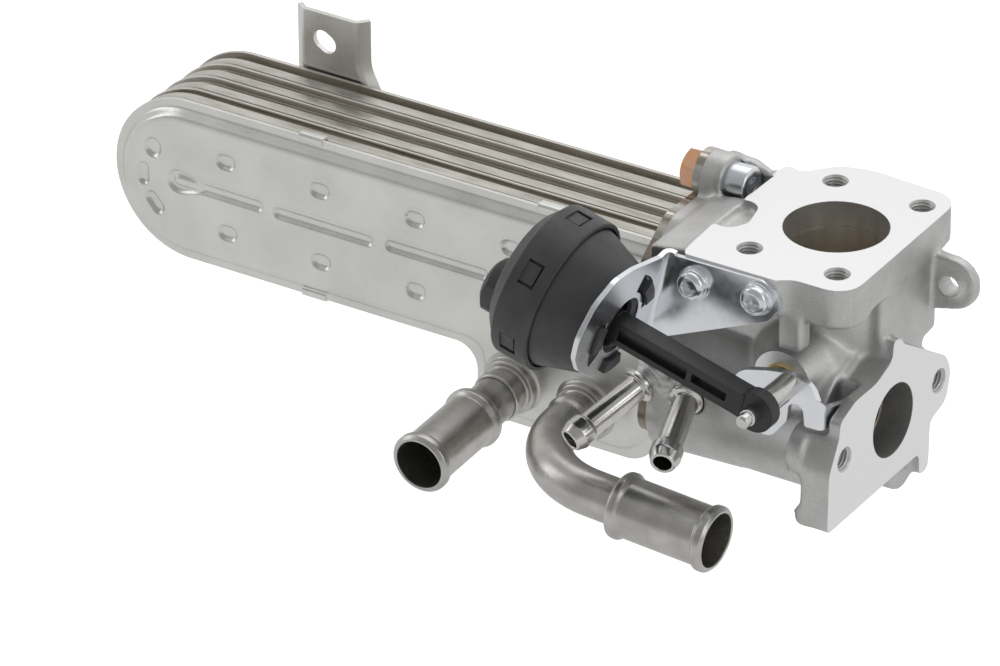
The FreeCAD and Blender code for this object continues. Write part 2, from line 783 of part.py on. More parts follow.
def gas_fins():
    """Folded fins that fill the passes of each gas channel."""
    fins = []
    for k in range(core_layers):
        y0 = core_lip_y + cover_sheet + k * core_pitch
        start = y0 if k == 0 else y0 - cover_sheet
        end = core_lip_y + (k + 1) * core_pitch
        if k == core_layers - 1:
            end = end - lip_sheet
        low = start + channel_wall + 0.05
        high = end - channel_wall - 0.05
        for side in (-1, 1):
            inner = core_middle_z + side * (divider_half + fin_edge)
            reach = core_radius - channel_edge - divider_half - 2 * fin_edge
            count = int(reach / fin_pitch)
            outline = []
            for n in range(count + 1):
                z = inner + side * n * fin_pitch
                y = low if n % 2 == 0 else high - fin_sheet
                outline.append((y, z))
            back = [(y + fin_sheet, z) for y, z in reversed(outline)]
            corners = [(y, z, 0) for y, z in outline + back]
            length = divider_length - 6.0
            fins.append(prism(corners, on_x(joint_x - length - 2.0), Vector(length, 0, 0)))
    return Part.Compound(fins)


def rear_tab_bracket():
    """Folded tab on the back cover: a channel with two bent wings, a wide foot and a slanted slot."""
    back = core_back_y - lip_sheet + cover_sheet + 0.9
    behind = back + tab_thickness
    right_x = tab_left_x + tab_width
    left_tip = (tab_left_x + tab_left_wing[0], back + tab_left_wing[1])
    right_tip = (right_x + tab_right_wing[0], back + tab_right_wing[1])
    lean = tab_thickness * 0.6
    profile = [
        (left_tip[0], left_tip[1], 0.4), (tab_left_x, back, 1.5), (right_x, back, 1.5),
        (right_tip[0], right_tip[1], 0.4), (right_tip[0] - lean, right_tip[1] + lean, 0.4),
        (right_x - lean / 2, behind, 1.0), (tab_left_x + lean / 2, behind, 1.0),
        (left_tip[0] + lean, left_tip[1] + lean, 0.4)]
    channel = prism(profile, on_z(tab_shoulder_z), Vector(0, 0, tab_top_z - tab_shoulder_z))
    foot = prism(
        [(left_tip[0], tab_foot_z, 3), (right_x + tab_foot_flare, tab_foot_z, 3),
         (right_x + tab_foot_flare, tab_shoulder_z - 1.5, 2), (right_x, tab_shoulder_z + 2.0, 2),
         (tab_left_x, tab_shoulder_z + 2.0, 0), (left_tip[0], tab_shoulder_z - 1.0, 1)],
        on_y(back), Vector(0, tab_thickness, 0))
    half = tab_hole_spread + tab_hole_radius
    slot = prism(
        [(-half, -tab_hole_radius, tab_hole_radius), (half, -tab_hole_radius, tab_hole_radius),
         (half, tab_hole_radius, tab_hole_radius), (-half, tab_hole_radius, tab_hole_radius)],
        on_y(0.0), Vector(0, tab_thickness, 0))
    slant = Rotation(Vector(0, 1, 0), tab_hole_turn_deg)
    slot.Placement = Placement(Vector(tab_hole[0], back, tab_hole[1]), slant)
    return joined([channel, foot]).cut(slot)


def cooler_flange():
    """Steel flange that the shells are brazed to."""
    place = on_x(joint_x)
    along = Vector(cooler_flange_thickness, 0, 0)
    return joint_plate(place, along)


def cooler_gasket():
    """Thin steel gasket between the two flanges."""
    return joint_plate(on_x(gasket_x), Vector(gasket_thickness, 0, 0))


def joint_plate(place, along):
    """Joint outline with its windows and screw holes."""
    plate = joint_outline(place, along)
    cuts = joint_windows(place, along, 0.5)
    for y, z in joint_ears:
        cuts.append(Part.makeCylinder(m8_clear_radius, along.Length, place(y, z), along))
    return drilled(plate, cuts)


def flange_screws():
    """Socket head screws of the cooler joint."""
    screws = []
    for y, z in joint_ears:
        head = along_x(m8_head_radius, lug_x, lug_x + m8_head_height, y, z)
        screw_end = lower_screw_end if (y, z) == lower_ear else m8_nut_height
        shank = along_x(m8_shank_radius, joint_x - screw_end, lug_x, y, z)
        key_at = Vector(lug_x + m8_head_height - m8_key_depth, y, z)
        key = aimed(hexagon_bar(m8_key_flats, m8_key_depth), key_at, Vector(1, 0, 0))
        screws.append(joined([head, shank]).cut(key))
    return Part.Compound(screws)


def flange_nuts():
    """Hexagon nuts behind the steel flange; the lower screw is threaded into the flange."""
    nuts = []
    for y, z in (upper_ear, rear_ear):
        blank = aimed(hexagon_bar(m8_across_flats, m8_nut_height), Vector(joint_x - m8_nut_height, y, z),
                      Vector(1, 0, 0))
        cone = Part.makeCone(m8_across_flats / 2 - 0.1, m8_across_flats / 2 + 2.6, m8_nut_height + 0.1,
                             Vector(joint_x - m8_nut_height, y, z), Vector(1, 0, 0))
        hole = along_x(m8_shank_radius, joint_x - m8_nut_height, joint_x, y, z)
        nuts.append(blank.common(cone).cut(hole))
    return Part.Compound(nuts)


def sleeve(radius, bore, length):
    """Hose end along Z: shoulder bead, plain sleeve and mouth bead, open through."""
    outer = turned([
        (0, 0, 0), (pipe_radius, 0, 0), (radius + pipe_bead, shoulder_length * 0.6, 0.8),
        (radius + pipe_bead, shoulder_length * 0.6 + bead_length, 1.2),
        (radius, shoulder_length + bead_length, 0.6),
        (radius, length - bead_length - 1.6, 0.6), (radius + pipe_bead, length - bead_length - 0.6, 1.0),
        (radius + pipe_bead, length - 1.0, 1.0), (radius, length, 0.6), (0, length, 0)])
    inner = turned([
        (0, -1.0, 0), (pipe_radius - pipe_wall, -1.0, 0), (pipe_radius - pipe_wall, 0.5, 0),
        (bore, shoulder_length, 0), (bore, length + 1.0, 0), (0, length + 1.0, 0)])
    return outer, inner


def straight_coolant_pipe():
    """Straight stub from the front cover to its hose end."""
    way = straight_mouth - straight_foot
    way.normalize()
    start = straight_mouth - way * straight_sleeve_length
    outer, inner = sleeve(straight_sleeve_radius, straight_sleeve_radius - pipe_wall, straight_sleeve_length)
    tube = rod_between(straight_foot, start, pipe_radius)
    tube_bore = rod_between(straight_foot, start, pipe_radius - pipe_wall)
    bead = rod_between(straight_foot + way * 9.0, straight_foot + way * 12.0, pipe_radius + 1.0)
    shape = joined([tube, bead, aimed(outer, start, way)])
    return ahead_of_cover(shape.cut(joined([tube_bore, aimed(inner, start, way)])))


def bent_tube(radius):
    """Elbow tube on its centre line: run, tangent arc, run."""
    first = elbow_foot - elbow_corner
    second = elbow_mouth - elbow_corner
    first.normalize()
    second.normalize()
    opening = first.getAngle(second)
    trim = elbow_bend_radius / math.tan(opening / 2)
    start = elbow_corner + first * trim
    end = elbow_corner + second * trim
    inward = first + second
    inward.normalize()
    middle = elbow_corner + inward * (elbow_bend_radius / math.sin(opening / 2) - elbow_bend_radius)
    sleeve_start = elbow_mouth - second * elbow_sleeve_length
    path = Part.Wire([
        Part.LineSegment(elbow_foot, start).toShape(), Part.Arc(start, middle, end).toShape(),
        Part.LineSegment(end, sleeve_start).toShape()])
    ring = Part.Wire([Part.makeCircle(radius, elbow_foot, first * -1)])
    return path.makePipeShell([ring], True, True), sleeve_start, second


def elbow_coolant_pipe():
    """Bent pipe from the front cover round to its hose end."""
    tube, start, way = bent_tube(pipe_radius)
    bore = bent_tube(pipe_radius - pipe_wall)[0]
    outer, inner = sleeve(elbow_sleeve_radius, elbow_sleeve_radius - pipe_wall, elbow_sleeve_length)
    foot_way = elbow_corner - elbow_foot
    foot_way.normalize()
    bead = rod_between(
        elbow_foot + foot_way * elbow_foot_bead_start, elbow_foot + foot_way * elbow_foot_bead_end,
        pipe_radius + 1.0)
    pipe = joined([tube, bead, aimed(outer, start, way)]).cut(joined([bore, aimed(inner, start, way)]))
    return ahead_of_cover(pipe)


def pipe_collar(foot, way):
    """Brazed collar round a pipe where it enters the front cover."""
    unit = Vector(way)
    unit.normalize()
    front = core_lip_y - panel_rise
    start = foot + unit * ((front - foot.y) / unit.y)
    ring = rod_between(start - unit * 0.6, start + unit * collar_length, collar_radius)
    bore = rod_between(start - unit * 1.0, start + unit * (collar_length + 1.0), pipe_radius)
    return ahead_of_cover(ring.cut(bore))


def coolant_nipple(ring, way):
    """Turned nipple: stem in the casting, bead ring, tube and rounded barb."""
    unit = nipple_way(way)
    length = nipple_seat + nipple_reach
    at = nipple_seat
    body = turned([
        (nipple_bore_radius, 0, 0), (nipple_radius, 0, 0), (nipple_radius, at - nipple_ring_width, 0),
        (nipple_ring_radius, at - nipple_ring_width, 0.6), (nipple_ring_radius, at + 0.4, 0.6),
        (nipple_radius, at + 1.0, 0.5), (nipple_radius, length - nipple_barb_start, 0.4),
        (nipple_barb_radius, length - nipple_barb_crest, 0.9),
        (nipple_barb_radius, length - nipple_barb_end, 1.6), (nipple_radius - 0.2, length, 0.5),
        (nipple_bore_radius, length, 0.3)])
    return aimed(body, ring - unit * nipple_seat, unit)


def actuator_bracket():
    """Bent sheet: a leg on the casting and a round face that holds the actuator."""
    front_y = bracket_back_y - bracket_sheet
    face_u = bracket_face_at
    leg_y = bracket_back_y - rod_y
    outer = bracket_face_at + bracket_sheet
    reach = outer + bracket_leg_reach
    profile = [(leg_y - bracket_sheet, outer - reach, 0), (leg_y, outer - reach, 0),
               (leg_y, outer, bracket_bend_radius), (-bracket_blank_half, outer, 0),
               (-bracket_blank_half, face_u, 0),
               (leg_y - bracket_sheet, face_u, bracket_bend_radius - bracket_sheet)]
    sheet = on_rod(prism(
        profile, lambda a, b: Vector(-bracket_blank_half, a, b), Vector(bracket_blank_width, 0, 0)))
    leg_corners = [(-60.0, 5.2, 0), (-41.0, -0.8, 0), (-1.5, -0.6, 6), (6.6, -6.5, 7), (0.2, -15.5, 5),
                   (-41.5, -33.6, 2), (-66.0, -31.0, 0)]
    leg_mask = prism(leg_corners, on_y(front_y - 3.0), Vector(0, 8.0, 0))
    face_corners = [
        (21.5, leg_y + 2.0, 0), (19.6, 18.0, 4), (24.8, -2.0, 12), (25.6, -13.0, 8), (20.5, -23.5, 8),
        (9.4, -29.9, 8), (0.8, -29.2, 6), (-7.4, -23.6, 8), (-14.6, -14.4, 8), (-18.0, -5.0, 3),
        (-13.0, -1.0, 3), (-10.4, 21.5, 3), (-10.4, leg_y + 2.0, 0)]
    face_mask = on_rod(prism(face_corners, on_z(face_u - 2.5), Vector(0, 0, bracket_sheet + 5.0)))
    body = sheet.common(joined([leg_mask, face_mask]))
    cuts = [on_rod(Part.makeCylinder(bracket_window_radius, 12.0, Vector(0, 0, face_u - 5.0)))]
    for start in bayonet_starts():
        window = arc_block(bayonet_inner, bayonet_outer, start, bayonet_angle_deg, face_u - 5.0, 12.0)
        cuts.append(on_rod(window))
    for x, z in bracket_screws_at:
        cuts.append(along_y(bracket_hole_radius, front_y - 1.0, bracket_back_y + 1.0, x, z))
    return drilled(body, cuts)


def bayonet_starts():
    """Angles at which the bayonet slots start, from the rod's upward direction towards the back."""
    return (25.0, 145.0, 240.0)


def arc_block(inner, outer, start_deg, sweep_deg, height, depth):
    """Piece of a ring about Z."""
    ring = Part.makeCylinder(outer, depth, Vector(0, 0, height), Vector(0, 0, 1), sweep_deg)
    ring = ring.cut(Part.makeCylinder(inner, depth, Vector(0, 0, height)))
    ring.rotate(Vector(0, 0, 0), Vector(0, 0, 1), start_deg)
    return ring


def bracket_screws():
    """Round-head screws with captive washers that hold the bracket."""
    front_y = bracket_back_y - bracket_sheet
    screws = []
    for x, z in bracket_screws_at:
        washer_y = front_y - bracket_washer_thickness
        washer = along_y(bracket_washer_radius, washer_y, front_y, x, z)
        stem = along_y(bracket_screw_radius, washer_y, bracket_back_y + bracket_screw_depth, x, z)
        head = turned([
            (0, 0, 0), (bracket_screw_head_radius, 0, 0),
            (bracket_screw_head_radius, bracket_screw_head_height, 1.5), (0, bracket_screw_head_height, 0)])
        head = aimed(head, Vector(x, washer_y, z), Vector(0, -1, 0))
        socket = along_y(1.9, washer_y - bracket_screw_head_height, washer_y - 1.0, x, z)
        screws.append(joined([washer, stem, head]).cut(socket))
    return Part.Compound(screws)


def actuator_can():
    """Front half of the actuator: a bowl with a rim, a rod opening and bayonet lugs."""
    wall = can_wall
    opening = bracket_window_radius - 1.5
    bowl = turned([
        (opening, can_front, 0), (can_front_radius, can_front, 3), (can_rim_radius, can_rim_at, 2),
        (can_rim_radius, can_rim_at + 2.0, 0), (can_rim_radius - wall, can_rim_at + 2.0, 0),
        (can_rim_radius - wall, can_rim_at, 2), (can_front_radius - wall, can_front + wall, 2),
        (opening, can_front + wall, 0)])
    lugs = []
    for start in bayonet_starts():
        lugs.append(arc_block(bayonet_inner + 0.8, bayonet_outer - 1.2, start + 20.0, 34.0,
                              can_front - bracket_sheet - 1.4, bracket_sheet + 1.4 + wall / 2))
    return on_rod(joined([bowl] + lugs))


def actuator_cap():
    """Rear half: collar with snap windows, dome, rear hub and the vacuum nipple."""
    wall = cap_wall
    outer = turned([
        (0, can_rim_at, 0), (cap_radius, can_rim_at, 0.8), (cap_radius, cap_back, 1.6),
        (dome_radius, cap_back + 0.8, 0.6), (dome_back_radius, dome_back, 4), (0, dome_back, 0)])
    hub_start = cap_back + 2.0
    hub_at = Vector(-rear_boss_offset, 0, hub_start)
    hub = Part.makeCylinder(rear_hub_radius, rear_boss_back - hub_start, hub_at)
    hub_rim = [edge for edge in hub.Edges if abs(edge.CenterOfMass.z - rear_boss_back) < 1e-4]
    hub = hub.makeFillet(1.5, hub_rim)
    middle = (dome_back + rear_boss_back) / 2
    neck_start = Vector(-rear_boss_offset, 0, middle)
    nipple = rod_between(neck_start, neck_start + Vector(0, vacuum_nipple_reach, 0), vacuum_nipple_radius)
    barb = rod_between(neck_start + Vector(0, vacuum_nipple_reach - 4.0, 0),
                       neck_start + Vector(0, vacuum_nipple_reach - 2.0, 0), vacuum_nipple_radius + 0.5)
    inner = turned([
        (0, can_rim_at - 1.0, 0), (can_rim_radius, can_rim_at - 1.0, 0),
        (can_rim_radius, can_rim_at + 2.0 + diaphragm_sheet, 0), (dome_radius - wall, can_rim_at + 3.6, 0),
        (dome_radius - wall, cap_back, 2),
        (dome_back_radius - wall, dome_back - wall, 3), (0, dome_back - wall, 0)])
    bore = rod_between(neck_start, neck_start + Vector(0, vacuum_nipple_reach + 1.0, 0), vacuum_nipple_bore)
    feed = Part.makeCylinder(vacuum_nipple_bore, middle - dome_back + wall + 1.0,
                             Vector(-rear_boss_offset, 0, dome_back - wall - 1.0))
    cuts = [inner, bore, feed]
    for k in range(snap_window_count):
        window = Part.makeBox(
            snap_window_depth + 1.0, snap_window_width, snap_window_length,
            Vector(cap_radius - snap_window_depth, -snap_window_width / 2, snap_window_at))
        window.rotate(Vector(0, 0, 0), Vector(0, 0, 1), snap_window_turn_deg + 360.0 * k / snap_window_count)
        cuts.append(window)
    return on_rod(drilled(joined([outer, hub, nipple, barb]), cuts))


def diaphragm():
    """Rolled rubber diaphragm, clamped at the rim and seated on the plate."""
    rim = can_rim_at + 2.0
    outer = can_rim_radius - can_wall - 0.6
    sheet = diaphragm_sheet
    inner = plate_radius + 0.3
    seat = plate_front + plate_sheet + 0.3
    return on_rod(turned([
        (can_rim_radius - 0.2, rim, 0), (can_rim_radius - 0.2, rim + sheet, 0),
        (outer - 2.5 - sheet, rim + sheet, 1.5), (inner, seat, 0), (inner + sheet, seat, 0),
        (outer - 2.5, rim, 1.0)]))


def diaphragm_plate():
    """Pressed plate that carries the spring and is clamped to the rod's end."""
    base = plate_front
    sheet = plate_sheet
    return on_rod(turned([
        (rod_height / 2 - 1.0, base, 0), (plate_radius, base, 1.2), (plate_radius, base + plate_depth, 0),
        (plate_radius - sheet, base + plate_depth, 0), (plate_radius - sheet, base + sheet, 0.6),
        (rod_height / 2 - 1.0, base + sheet, 0)]))


def return_spring():
    """Compression spring between the plate and the back of the cap."""
    start = plate_front + plate_sheet + spring_wire_radius
    end = dome_back - cap_wall - spring_wire_radius - 0.1
    pitch = (end - start) / spring_turns
    path = Part.makeHelix(pitch, end - start, spring_radius)
    path.translate(Vector(0, 0, start))
    ring = Part.Wire([Part.makeCircle(spring_wire_radius, Vector(spring_radius, 0, start), Vector(0, 1, 0))])
    return on_rod(Part.Wire(path.Edges).makePipeShell([ring], True, True))


def actuator_rod():
    """Moulded rod: eye on the pin, ribbed section, and a round end in the plate."""
    eye_front = rod_eye_shift - rod_eye_thickness / 2
    stem_front = rod_stem_shift - rod_width / 2
    eye = Part.makeCylinder(rod_eye_radius, rod_eye_thickness, Vector(0, eye_front, 0), Vector(0, 1, 0))
    stem_start = pin_spacer_radius + free_clearance
    stem_length = rod_end - 2.0 - stem_start
    stem = Part.makeBox(rod_height, rod_width, stem_length, Vector(-rod_height / 2, stem_front, stem_start))
    groove_depth = (rod_width - rod_web) / 2
    groove_start = rod_slot_start + rod_slot_length + 2.0
    grooves = []
    for side in (-1, 1):
        y = stem_front if side < 0 else stem_front + rod_width - groove_depth
        grooves.append(Part.makeBox(rod_height - 2 * rod_rail, groove_depth, rod_end - groove_start - 6.0,
                                    Vector(-rod_height / 2 + rod_rail, y, groove_start)))
    slot = Part.makeBox(rod_height - 2.6 * rod_rail, rod_width + 2.0, rod_slot_length,
                        Vector(-rod_height / 2 + 1.3 * rod_rail, stem_front - 1.0, rod_slot_start))
    tip_radius = rod_height / 2 - 1.0
    collar = rod_height / 2 + 0.6
    plate_back = plate_front + plate_sheet
    tip = turned([(0, rod_end - 3.0, 0), (collar, rod_end - 3.0, 0), (collar, plate_front, 0),
                  (tip_radius, plate_front, 0), (tip_radius, plate_back, 0),
                  (tip_radius + 1.4, plate_back, 0), (tip_radius + 0.6, plate_back + 1.6, 0.5),
                  (0, plate_back + 1.6, 0)])
    hole = Part.makeCylinder(pin_radius + running_clearance, rod_eye_thickness + 2.0,
                             Vector(0, eye_front - 1.0, 0), Vector(0, 1, 0))
    return on_rod(joined([eye, stem, tip]).cut(joined(grooves + [slot, hole])))


def lever():
    """Pressed lever: hub on the shaft, arm for the pin, open slot and a bent-back tab."""
    hub = along_y(lever_hub_radius, lever_front_y, lever_front_y + lever_thickness, 0, shaft_z)
    slot_top = shaft_z + lever_slot_top
    arm = prism(
        [(-7.0, shaft_z + 4.5, 3), (4.0, shaft_z + 12.6, 6), (14.5, shaft_z + 12.8, 7),
         (24.0, shaft_z + 7.5, 7), (24.5, shaft_z - 6.0, 1.5), (lever_slot_right, shaft_z - 6.5, 1),
         (lever_slot_right, slot_top, 2.6), (lever_slot_left, slot_top, 2.6),
         (lever_slot_left, shaft_z - 6.5, 1), (5.0, shaft_z - 8.6, 3), (1.0, shaft_z - 13.0, 3),
         (-4.0, shaft_z - 8.0, 2)],
        on_y(lever_front_y), Vector(0, lever_thickness, 0))
    tip_y = lever_front_y + lever_tab_length
    tab = prism(
        [(lever_front_y, shaft_z + 5.6, 0), (lever_front_y, shaft_z - 5.9, 0), (tip_y, shaft_z - 6.4, 1.6),
         (tip_y, shaft_z - 3.4, 2.0), (lever_front_y + 6.0, shaft_z + 4.0, 4)],
        on_x(24.4 - lever_thickness), Vector(lever_thickness, 0, 0))
    holes = [along_y(shaft_radius - 0.5, lever_front_y - 1, lever_front_y + lever_thickness + 1, 0, shaft_z),
             along_y(pin_radius, lever_front_y - 1, lever_front_y + lever_thickness + 1, pin_x, pin_z)]
    return joined([hub, arm, tab]).cut(joined(holes))


def lever_pin():
    """Shouldered pin riveted in the lever, with a reduced point."""
    eye_back = rod_y + rod_eye_shift + rod_eye_thickness / 2
    steps = [
        along_y(pin_radius, pin_tip_y, lever_front_y + lever_thickness, pin_x, pin_z),
        along_y(pin_spacer_radius, eye_back + free_clearance, lever_front_y, pin_x, pin_z),
        along_y(pin_point_radius, pin_point_y, pin_tip_y, pin_x, pin_z)]
    pin = joined(steps)
    point = [edge for edge in pin.Edges if abs(edge.CenterOfMass.y - pin_point_y) < 1e-4]
    return pin.makeFillet(pin_point_round, point)


def flap_shaft():
    """Shaft in two bushes, slotted for the flap and stepped for the lever."""
    body = along_y(shaft_radius, lever_front_y + lever_thickness, shaft_rear_y, 0, shaft_z)
    step = along_y(shaft_radius - 0.5, shaft_front_y, lever_front_y + lever_thickness, 0, shaft_z)
    slot = block(-shaft_radius - 1, shaft_radius + 1, -flap_radius, flap_radius,
                 shaft_z - flap_thickness / 2, shaft_z + flap_thickness / 2)
    below = shaft_z - shaft_radius - 1
    holes = [Part.makeCylinder(flap_screw_radius, 2 * shaft_radius + 2, Vector(0, y, below))
             for y in (-flap_screw_spacing / 2, flap_screw_spacing / 2)]
    return joined([body, step]).cut(joined([slot] + holes))


def flap_disc():
    """Round flap in the shaft's slot."""
    disc = Part.makeCylinder(flap_radius, flap_thickness, Vector(0, 0, shaft_z - flap_thickness / 2))
    holes = [Part.makeCylinder(flap_screw_radius, flap_thickness + 2, Vector(0, y, shaft_z - flap_thickness))
             for y in (-flap_screw_spacing / 2, flap_screw_spacing / 2)]
    return disc.cut(joined(holes))


def flap_screws():
    """Two screws through the shaft and the flap."""
    screws = []
    tip_z = shaft_z - shaft_radius - 1.0
    for y in (-flap_screw_spacing / 2, flap_screw_spacing / 2):
        shank = Part.makeCylinder(flap_screw_radius, 2 * shaft_radius + 1.0, Vector(0, y, tip_z))
        head_at = Vector(0, y, shaft_z + shaft_radius)
        head = Part.makeCylinder(flap_screw_head_radius, flap_screw_head_height, head_at)
        screws.append(joined([shank, head]))
    return Part.Compound(screws)


def bush(radius, front, length):
    """Plain bush on the shaft."""
    outer = along_y(radius, front, front + length, 0, shaft_z)
    return outer.cut(along_y(shaft_radius + running_clearance, front - 1, front + length + 1, 0, shaft_z))


def shaft_bush_front():
    """Brass bush at the lever."""
    return bush(bush_radius, bush_front_y, bush_length)


def shaft_bush_rear():
    """Steel bush in the blind boss."""
    return bush(rear_bush_radius, rear_bush_back - rear_bush_length, rear_bush_length)


def build():
    """Write one file for each sub-part."""
    parts = {
        "flap_housing": flap_housing(),
        "cooler_front_plate": cooler_front_plate(),
        "cooler_back_plate": cooler_back_plate(),
        "gas_fins": gas_fins(),
        "rear_tab_bracket": rear_tab_bracket(),
        "cooler_flange": cooler_flange(),
        "cooler_gasket": cooler_gasket(),
        "flange_screws": flange_screws(),
        "flange_nuts": flange_nuts(),
        "straight_coolant_pipe": straight_coolant_pipe(),
        "elbow_coolant_pipe": elbow_coolant_pipe(),
        "straight_pipe_collar": pipe_collar(straight_foot, straight_mouth - straight_foot),
        "elbow_pipe_collar": pipe_collar(elbow_foot, elbow_corner - elbow_foot),
        "left_coolant_nipple": coolant_nipple(left_nipple_ring, left_nipple_way),
        "right_coolant_nipple": coolant_nipple(right_nipple_ring, right_nipple_way),
        "actuator_bracket": actuator_bracket(),
        "bracket_screws": bracket_screws(),
        "actuator_can": actuator_can(),
        "actuator_cap": actuator_cap(),
        "diaphragm": diaphragm(),
        "diaphragm_plate": diaphragm_plate(),
        "return_spring": return_spring(),
        "actuator_rod": actuator_rod(),
        "lever": lever(),
        "lever_pin": lever_pin(),
        "flap_shaft": flap_shaft(),
        "flap_disc": flap_disc(),
        "flap_screws": flap_screws(),
        "shaft_bush_front": shaft_bush_front(),
        "shaft_bush_rear": shaft_bush_rear(),
    }
    for k in range(core_layers):
        parts["cooler_shell_%d" % (k + 1)] = cooler_shell(k)
    os.makedirs("parts", exist_ok=True)
    for name, shape in parts.items():
        solids = shape.Solids
        print("%-24s solids %d valid %s volume %.0f" % (name, len(solids), shape.isValid(), shape.Volume))
        shape.exportStep("parts/%s.step" % name)


build()
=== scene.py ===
import json
import math

import bmesh
import bpy
import numpy as np
from mathutils import Matrix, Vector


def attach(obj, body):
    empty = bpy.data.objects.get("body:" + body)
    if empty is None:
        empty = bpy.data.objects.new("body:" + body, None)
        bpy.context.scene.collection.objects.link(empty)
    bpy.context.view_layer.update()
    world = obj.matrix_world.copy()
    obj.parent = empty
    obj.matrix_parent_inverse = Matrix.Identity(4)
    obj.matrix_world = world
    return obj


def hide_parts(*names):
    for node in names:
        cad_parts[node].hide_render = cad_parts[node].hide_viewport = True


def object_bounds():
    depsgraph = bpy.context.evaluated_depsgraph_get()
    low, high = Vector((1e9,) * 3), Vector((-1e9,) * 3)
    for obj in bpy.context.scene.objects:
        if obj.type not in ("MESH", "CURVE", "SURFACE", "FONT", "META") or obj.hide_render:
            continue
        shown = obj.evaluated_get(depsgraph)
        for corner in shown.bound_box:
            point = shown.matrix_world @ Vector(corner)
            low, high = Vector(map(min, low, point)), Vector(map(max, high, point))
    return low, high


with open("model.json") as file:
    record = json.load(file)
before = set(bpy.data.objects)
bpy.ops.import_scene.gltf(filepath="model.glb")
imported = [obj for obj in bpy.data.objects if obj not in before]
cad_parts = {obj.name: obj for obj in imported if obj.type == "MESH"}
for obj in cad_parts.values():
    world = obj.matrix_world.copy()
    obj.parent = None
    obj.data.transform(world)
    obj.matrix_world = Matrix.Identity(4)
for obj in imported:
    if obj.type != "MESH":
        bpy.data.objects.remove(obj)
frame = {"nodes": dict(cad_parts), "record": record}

# The exhaust gas cooler with its flap housing and actuator.
# Metres, in the part's own frame: origin in the upper port, X to the two-bolt port, Y back, Z up.
# Shapes are worked out in millimetres and brought to metres when a mesh is made.
MM = 0.001
ROOT = "cooler and housing"
LEVER_BODY = "flap and lever"
cad_low, cad_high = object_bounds()
UP = (0.0, 0.0, 1.0)
RIGHT = (1.0, 0.0, 0.0)
BACK = (0.0, 1.0, 0.0)
FRONT = (0.0, -1.0, 0.0)
LEFT = (-1.0, 0.0, 0.0)

# Camera, from the photograph's measured perspective
PHOTO_WIDTH = 1000
FOCAL_PX = 8000.0
SENSOR_MM = 36.0
CAMERA_TURN_DEG = 32.98
CAMERA_RISE_DEG = 29.2
CAMERA_ROLL_DEG = -0.5
CAMERA_SHIFT_RIGHT = 0.1136
CAMERA_SHIFT_DOWN = -0.0359
CAMERA_DISTANCE = 2.7016

# Ports of the casting
PORT_RADIUS = 18.25
PORT_DEPTH = 9.5
NECK_RADIUS = 17.85
NECK_DEPTH = 75.0
PORT_BOLTS = [(x, y) for x in (-17.1, 17.1) for y in (-28.3, 28.3)]
PORT_LEFT = -36.6
TAP_RADIUS = 3.4
TAP_DEPTH = 16.0
THREAD_PITCH = 1.25
THREAD_DEPTH = 0.65
THREAD_ROW = 0.16
THREAD_SIDES = 48
THREAD_FLANKS = (1.25, -0.12)
THREAD_RUNOUT = (3.0, 1.5)
CHAMFER = 1.2
SIDE_FACE = 30.0
SIDE_RADIUS = 13.4
SIDE_DEPTH = 12.0
SIDE_NECK_RADIUS = 13.0
SIDE_CENTRE = (-11.5, -60.6)
SIDE_BOLTS = ((19.5, -60.2), (-43.8, -60.2))
HOUSING_LEFT = -56.5
LUG = -48.6
LOWER_EAR = (-22.5, -76.0)
NUT_EARS = ((12.5, -1.3), (41.0, -70.0))
JOINT_EARS = (NUT_EARS[0], LOWER_EAR, NUT_EARS[1])
EAR_HOLE = (33.6, -21.9)
EAR_HOLE_RADIUS = 4.0
EAR_FRONT = 19.8
EAR_THICKNESS = 5.0
CLEAR_RADIUS = 4.3
HEAD_RADIUS = 6.5
HEAD_HEIGHT = 8.0
ACROSS_FLATS = 13.0
NUT_HEIGHT = 6.5
JOINT = -59.5
LOWER_SCREW_END = 1.5
SHANK_RADIUS = 3.9
KEY_FLATS = 6.0
KEY_DEPTH = 4.0

# How the casting's skin is made: stock on the machined faces, lattice width and relaxing steps
ALLOWANCE = 3.0
LATTICE = 0.9
RELAX_STEPS = 12
RELAX_SHARE = 0.5
KEPT_SHARE = 0.42
PLUG_GROWTH = 0.4
TAP_PLUG_GROWTH = 1.6
SIDE_TAP_DEPTH = 20.0
SEAT_ROOM = 1.2
BOSS_PLUG_RADIUS = 10.8
BOSS_CUT_RADIUS = 12.5
FACE_NEAR = 0.02
SOLVER = "MANIFOLD"

# Flap shaft, lever and bracket
SHAFT_Z = -43.0
SHAFT_RADIUS = 4.0
BOSS_FACE = -35.0
BUSH_RADIUS = 5.8
BUSH_FRONT = -36.2
BUSH_LENGTH = 15.0
BUSH_CLEARANCE = 0.04
REAR_BUSH_RADIUS = 6.4
REAR_BUSH = (19.0, 28.0)
BRACKET_BACK = -43.2
BRACKET_SHEET = 1.8
BRACKET_SCREWS = ((-28.4, -8.9), (-3.7, -7.5))
BRACKET_SCREW_RADIUS = 2.5
BRACKET_SCREW_DEPTH = 9.0
SCREW_HEAD_RADIUS = 5.2
SCREW_CROWN_RADIUS = 3.4
MOUTH_RADIUS = 2.6
DRIVE_RADIUS = 2.7
DRIVE_DEPTH = 2.0
LOBE_WAVE = 0.17
LOBE_FLATNESS = 0.7
SCREW_HEAD_HEIGHT = 3.4
WASHER_RADIUS = 6.0
WASHER_THICKNESS = 1.0
LEVER_FRONT = -49.0
LEVER_THICKNESS = 2.5
LEVER_EDGE = 24.4
LEVER_TAB_END = -28.6
PIN = np.array([11.0, -67.0, -34.3])
PIN_RADIUS = 3.0
PIN_SPACER_RADIUS = 4.4
PIN_SPACER_FRONT = -66.5
PIN_TIP = -76.0
PIN_POINT = -80.0
PIN_POINT_RADIUS = 2.5

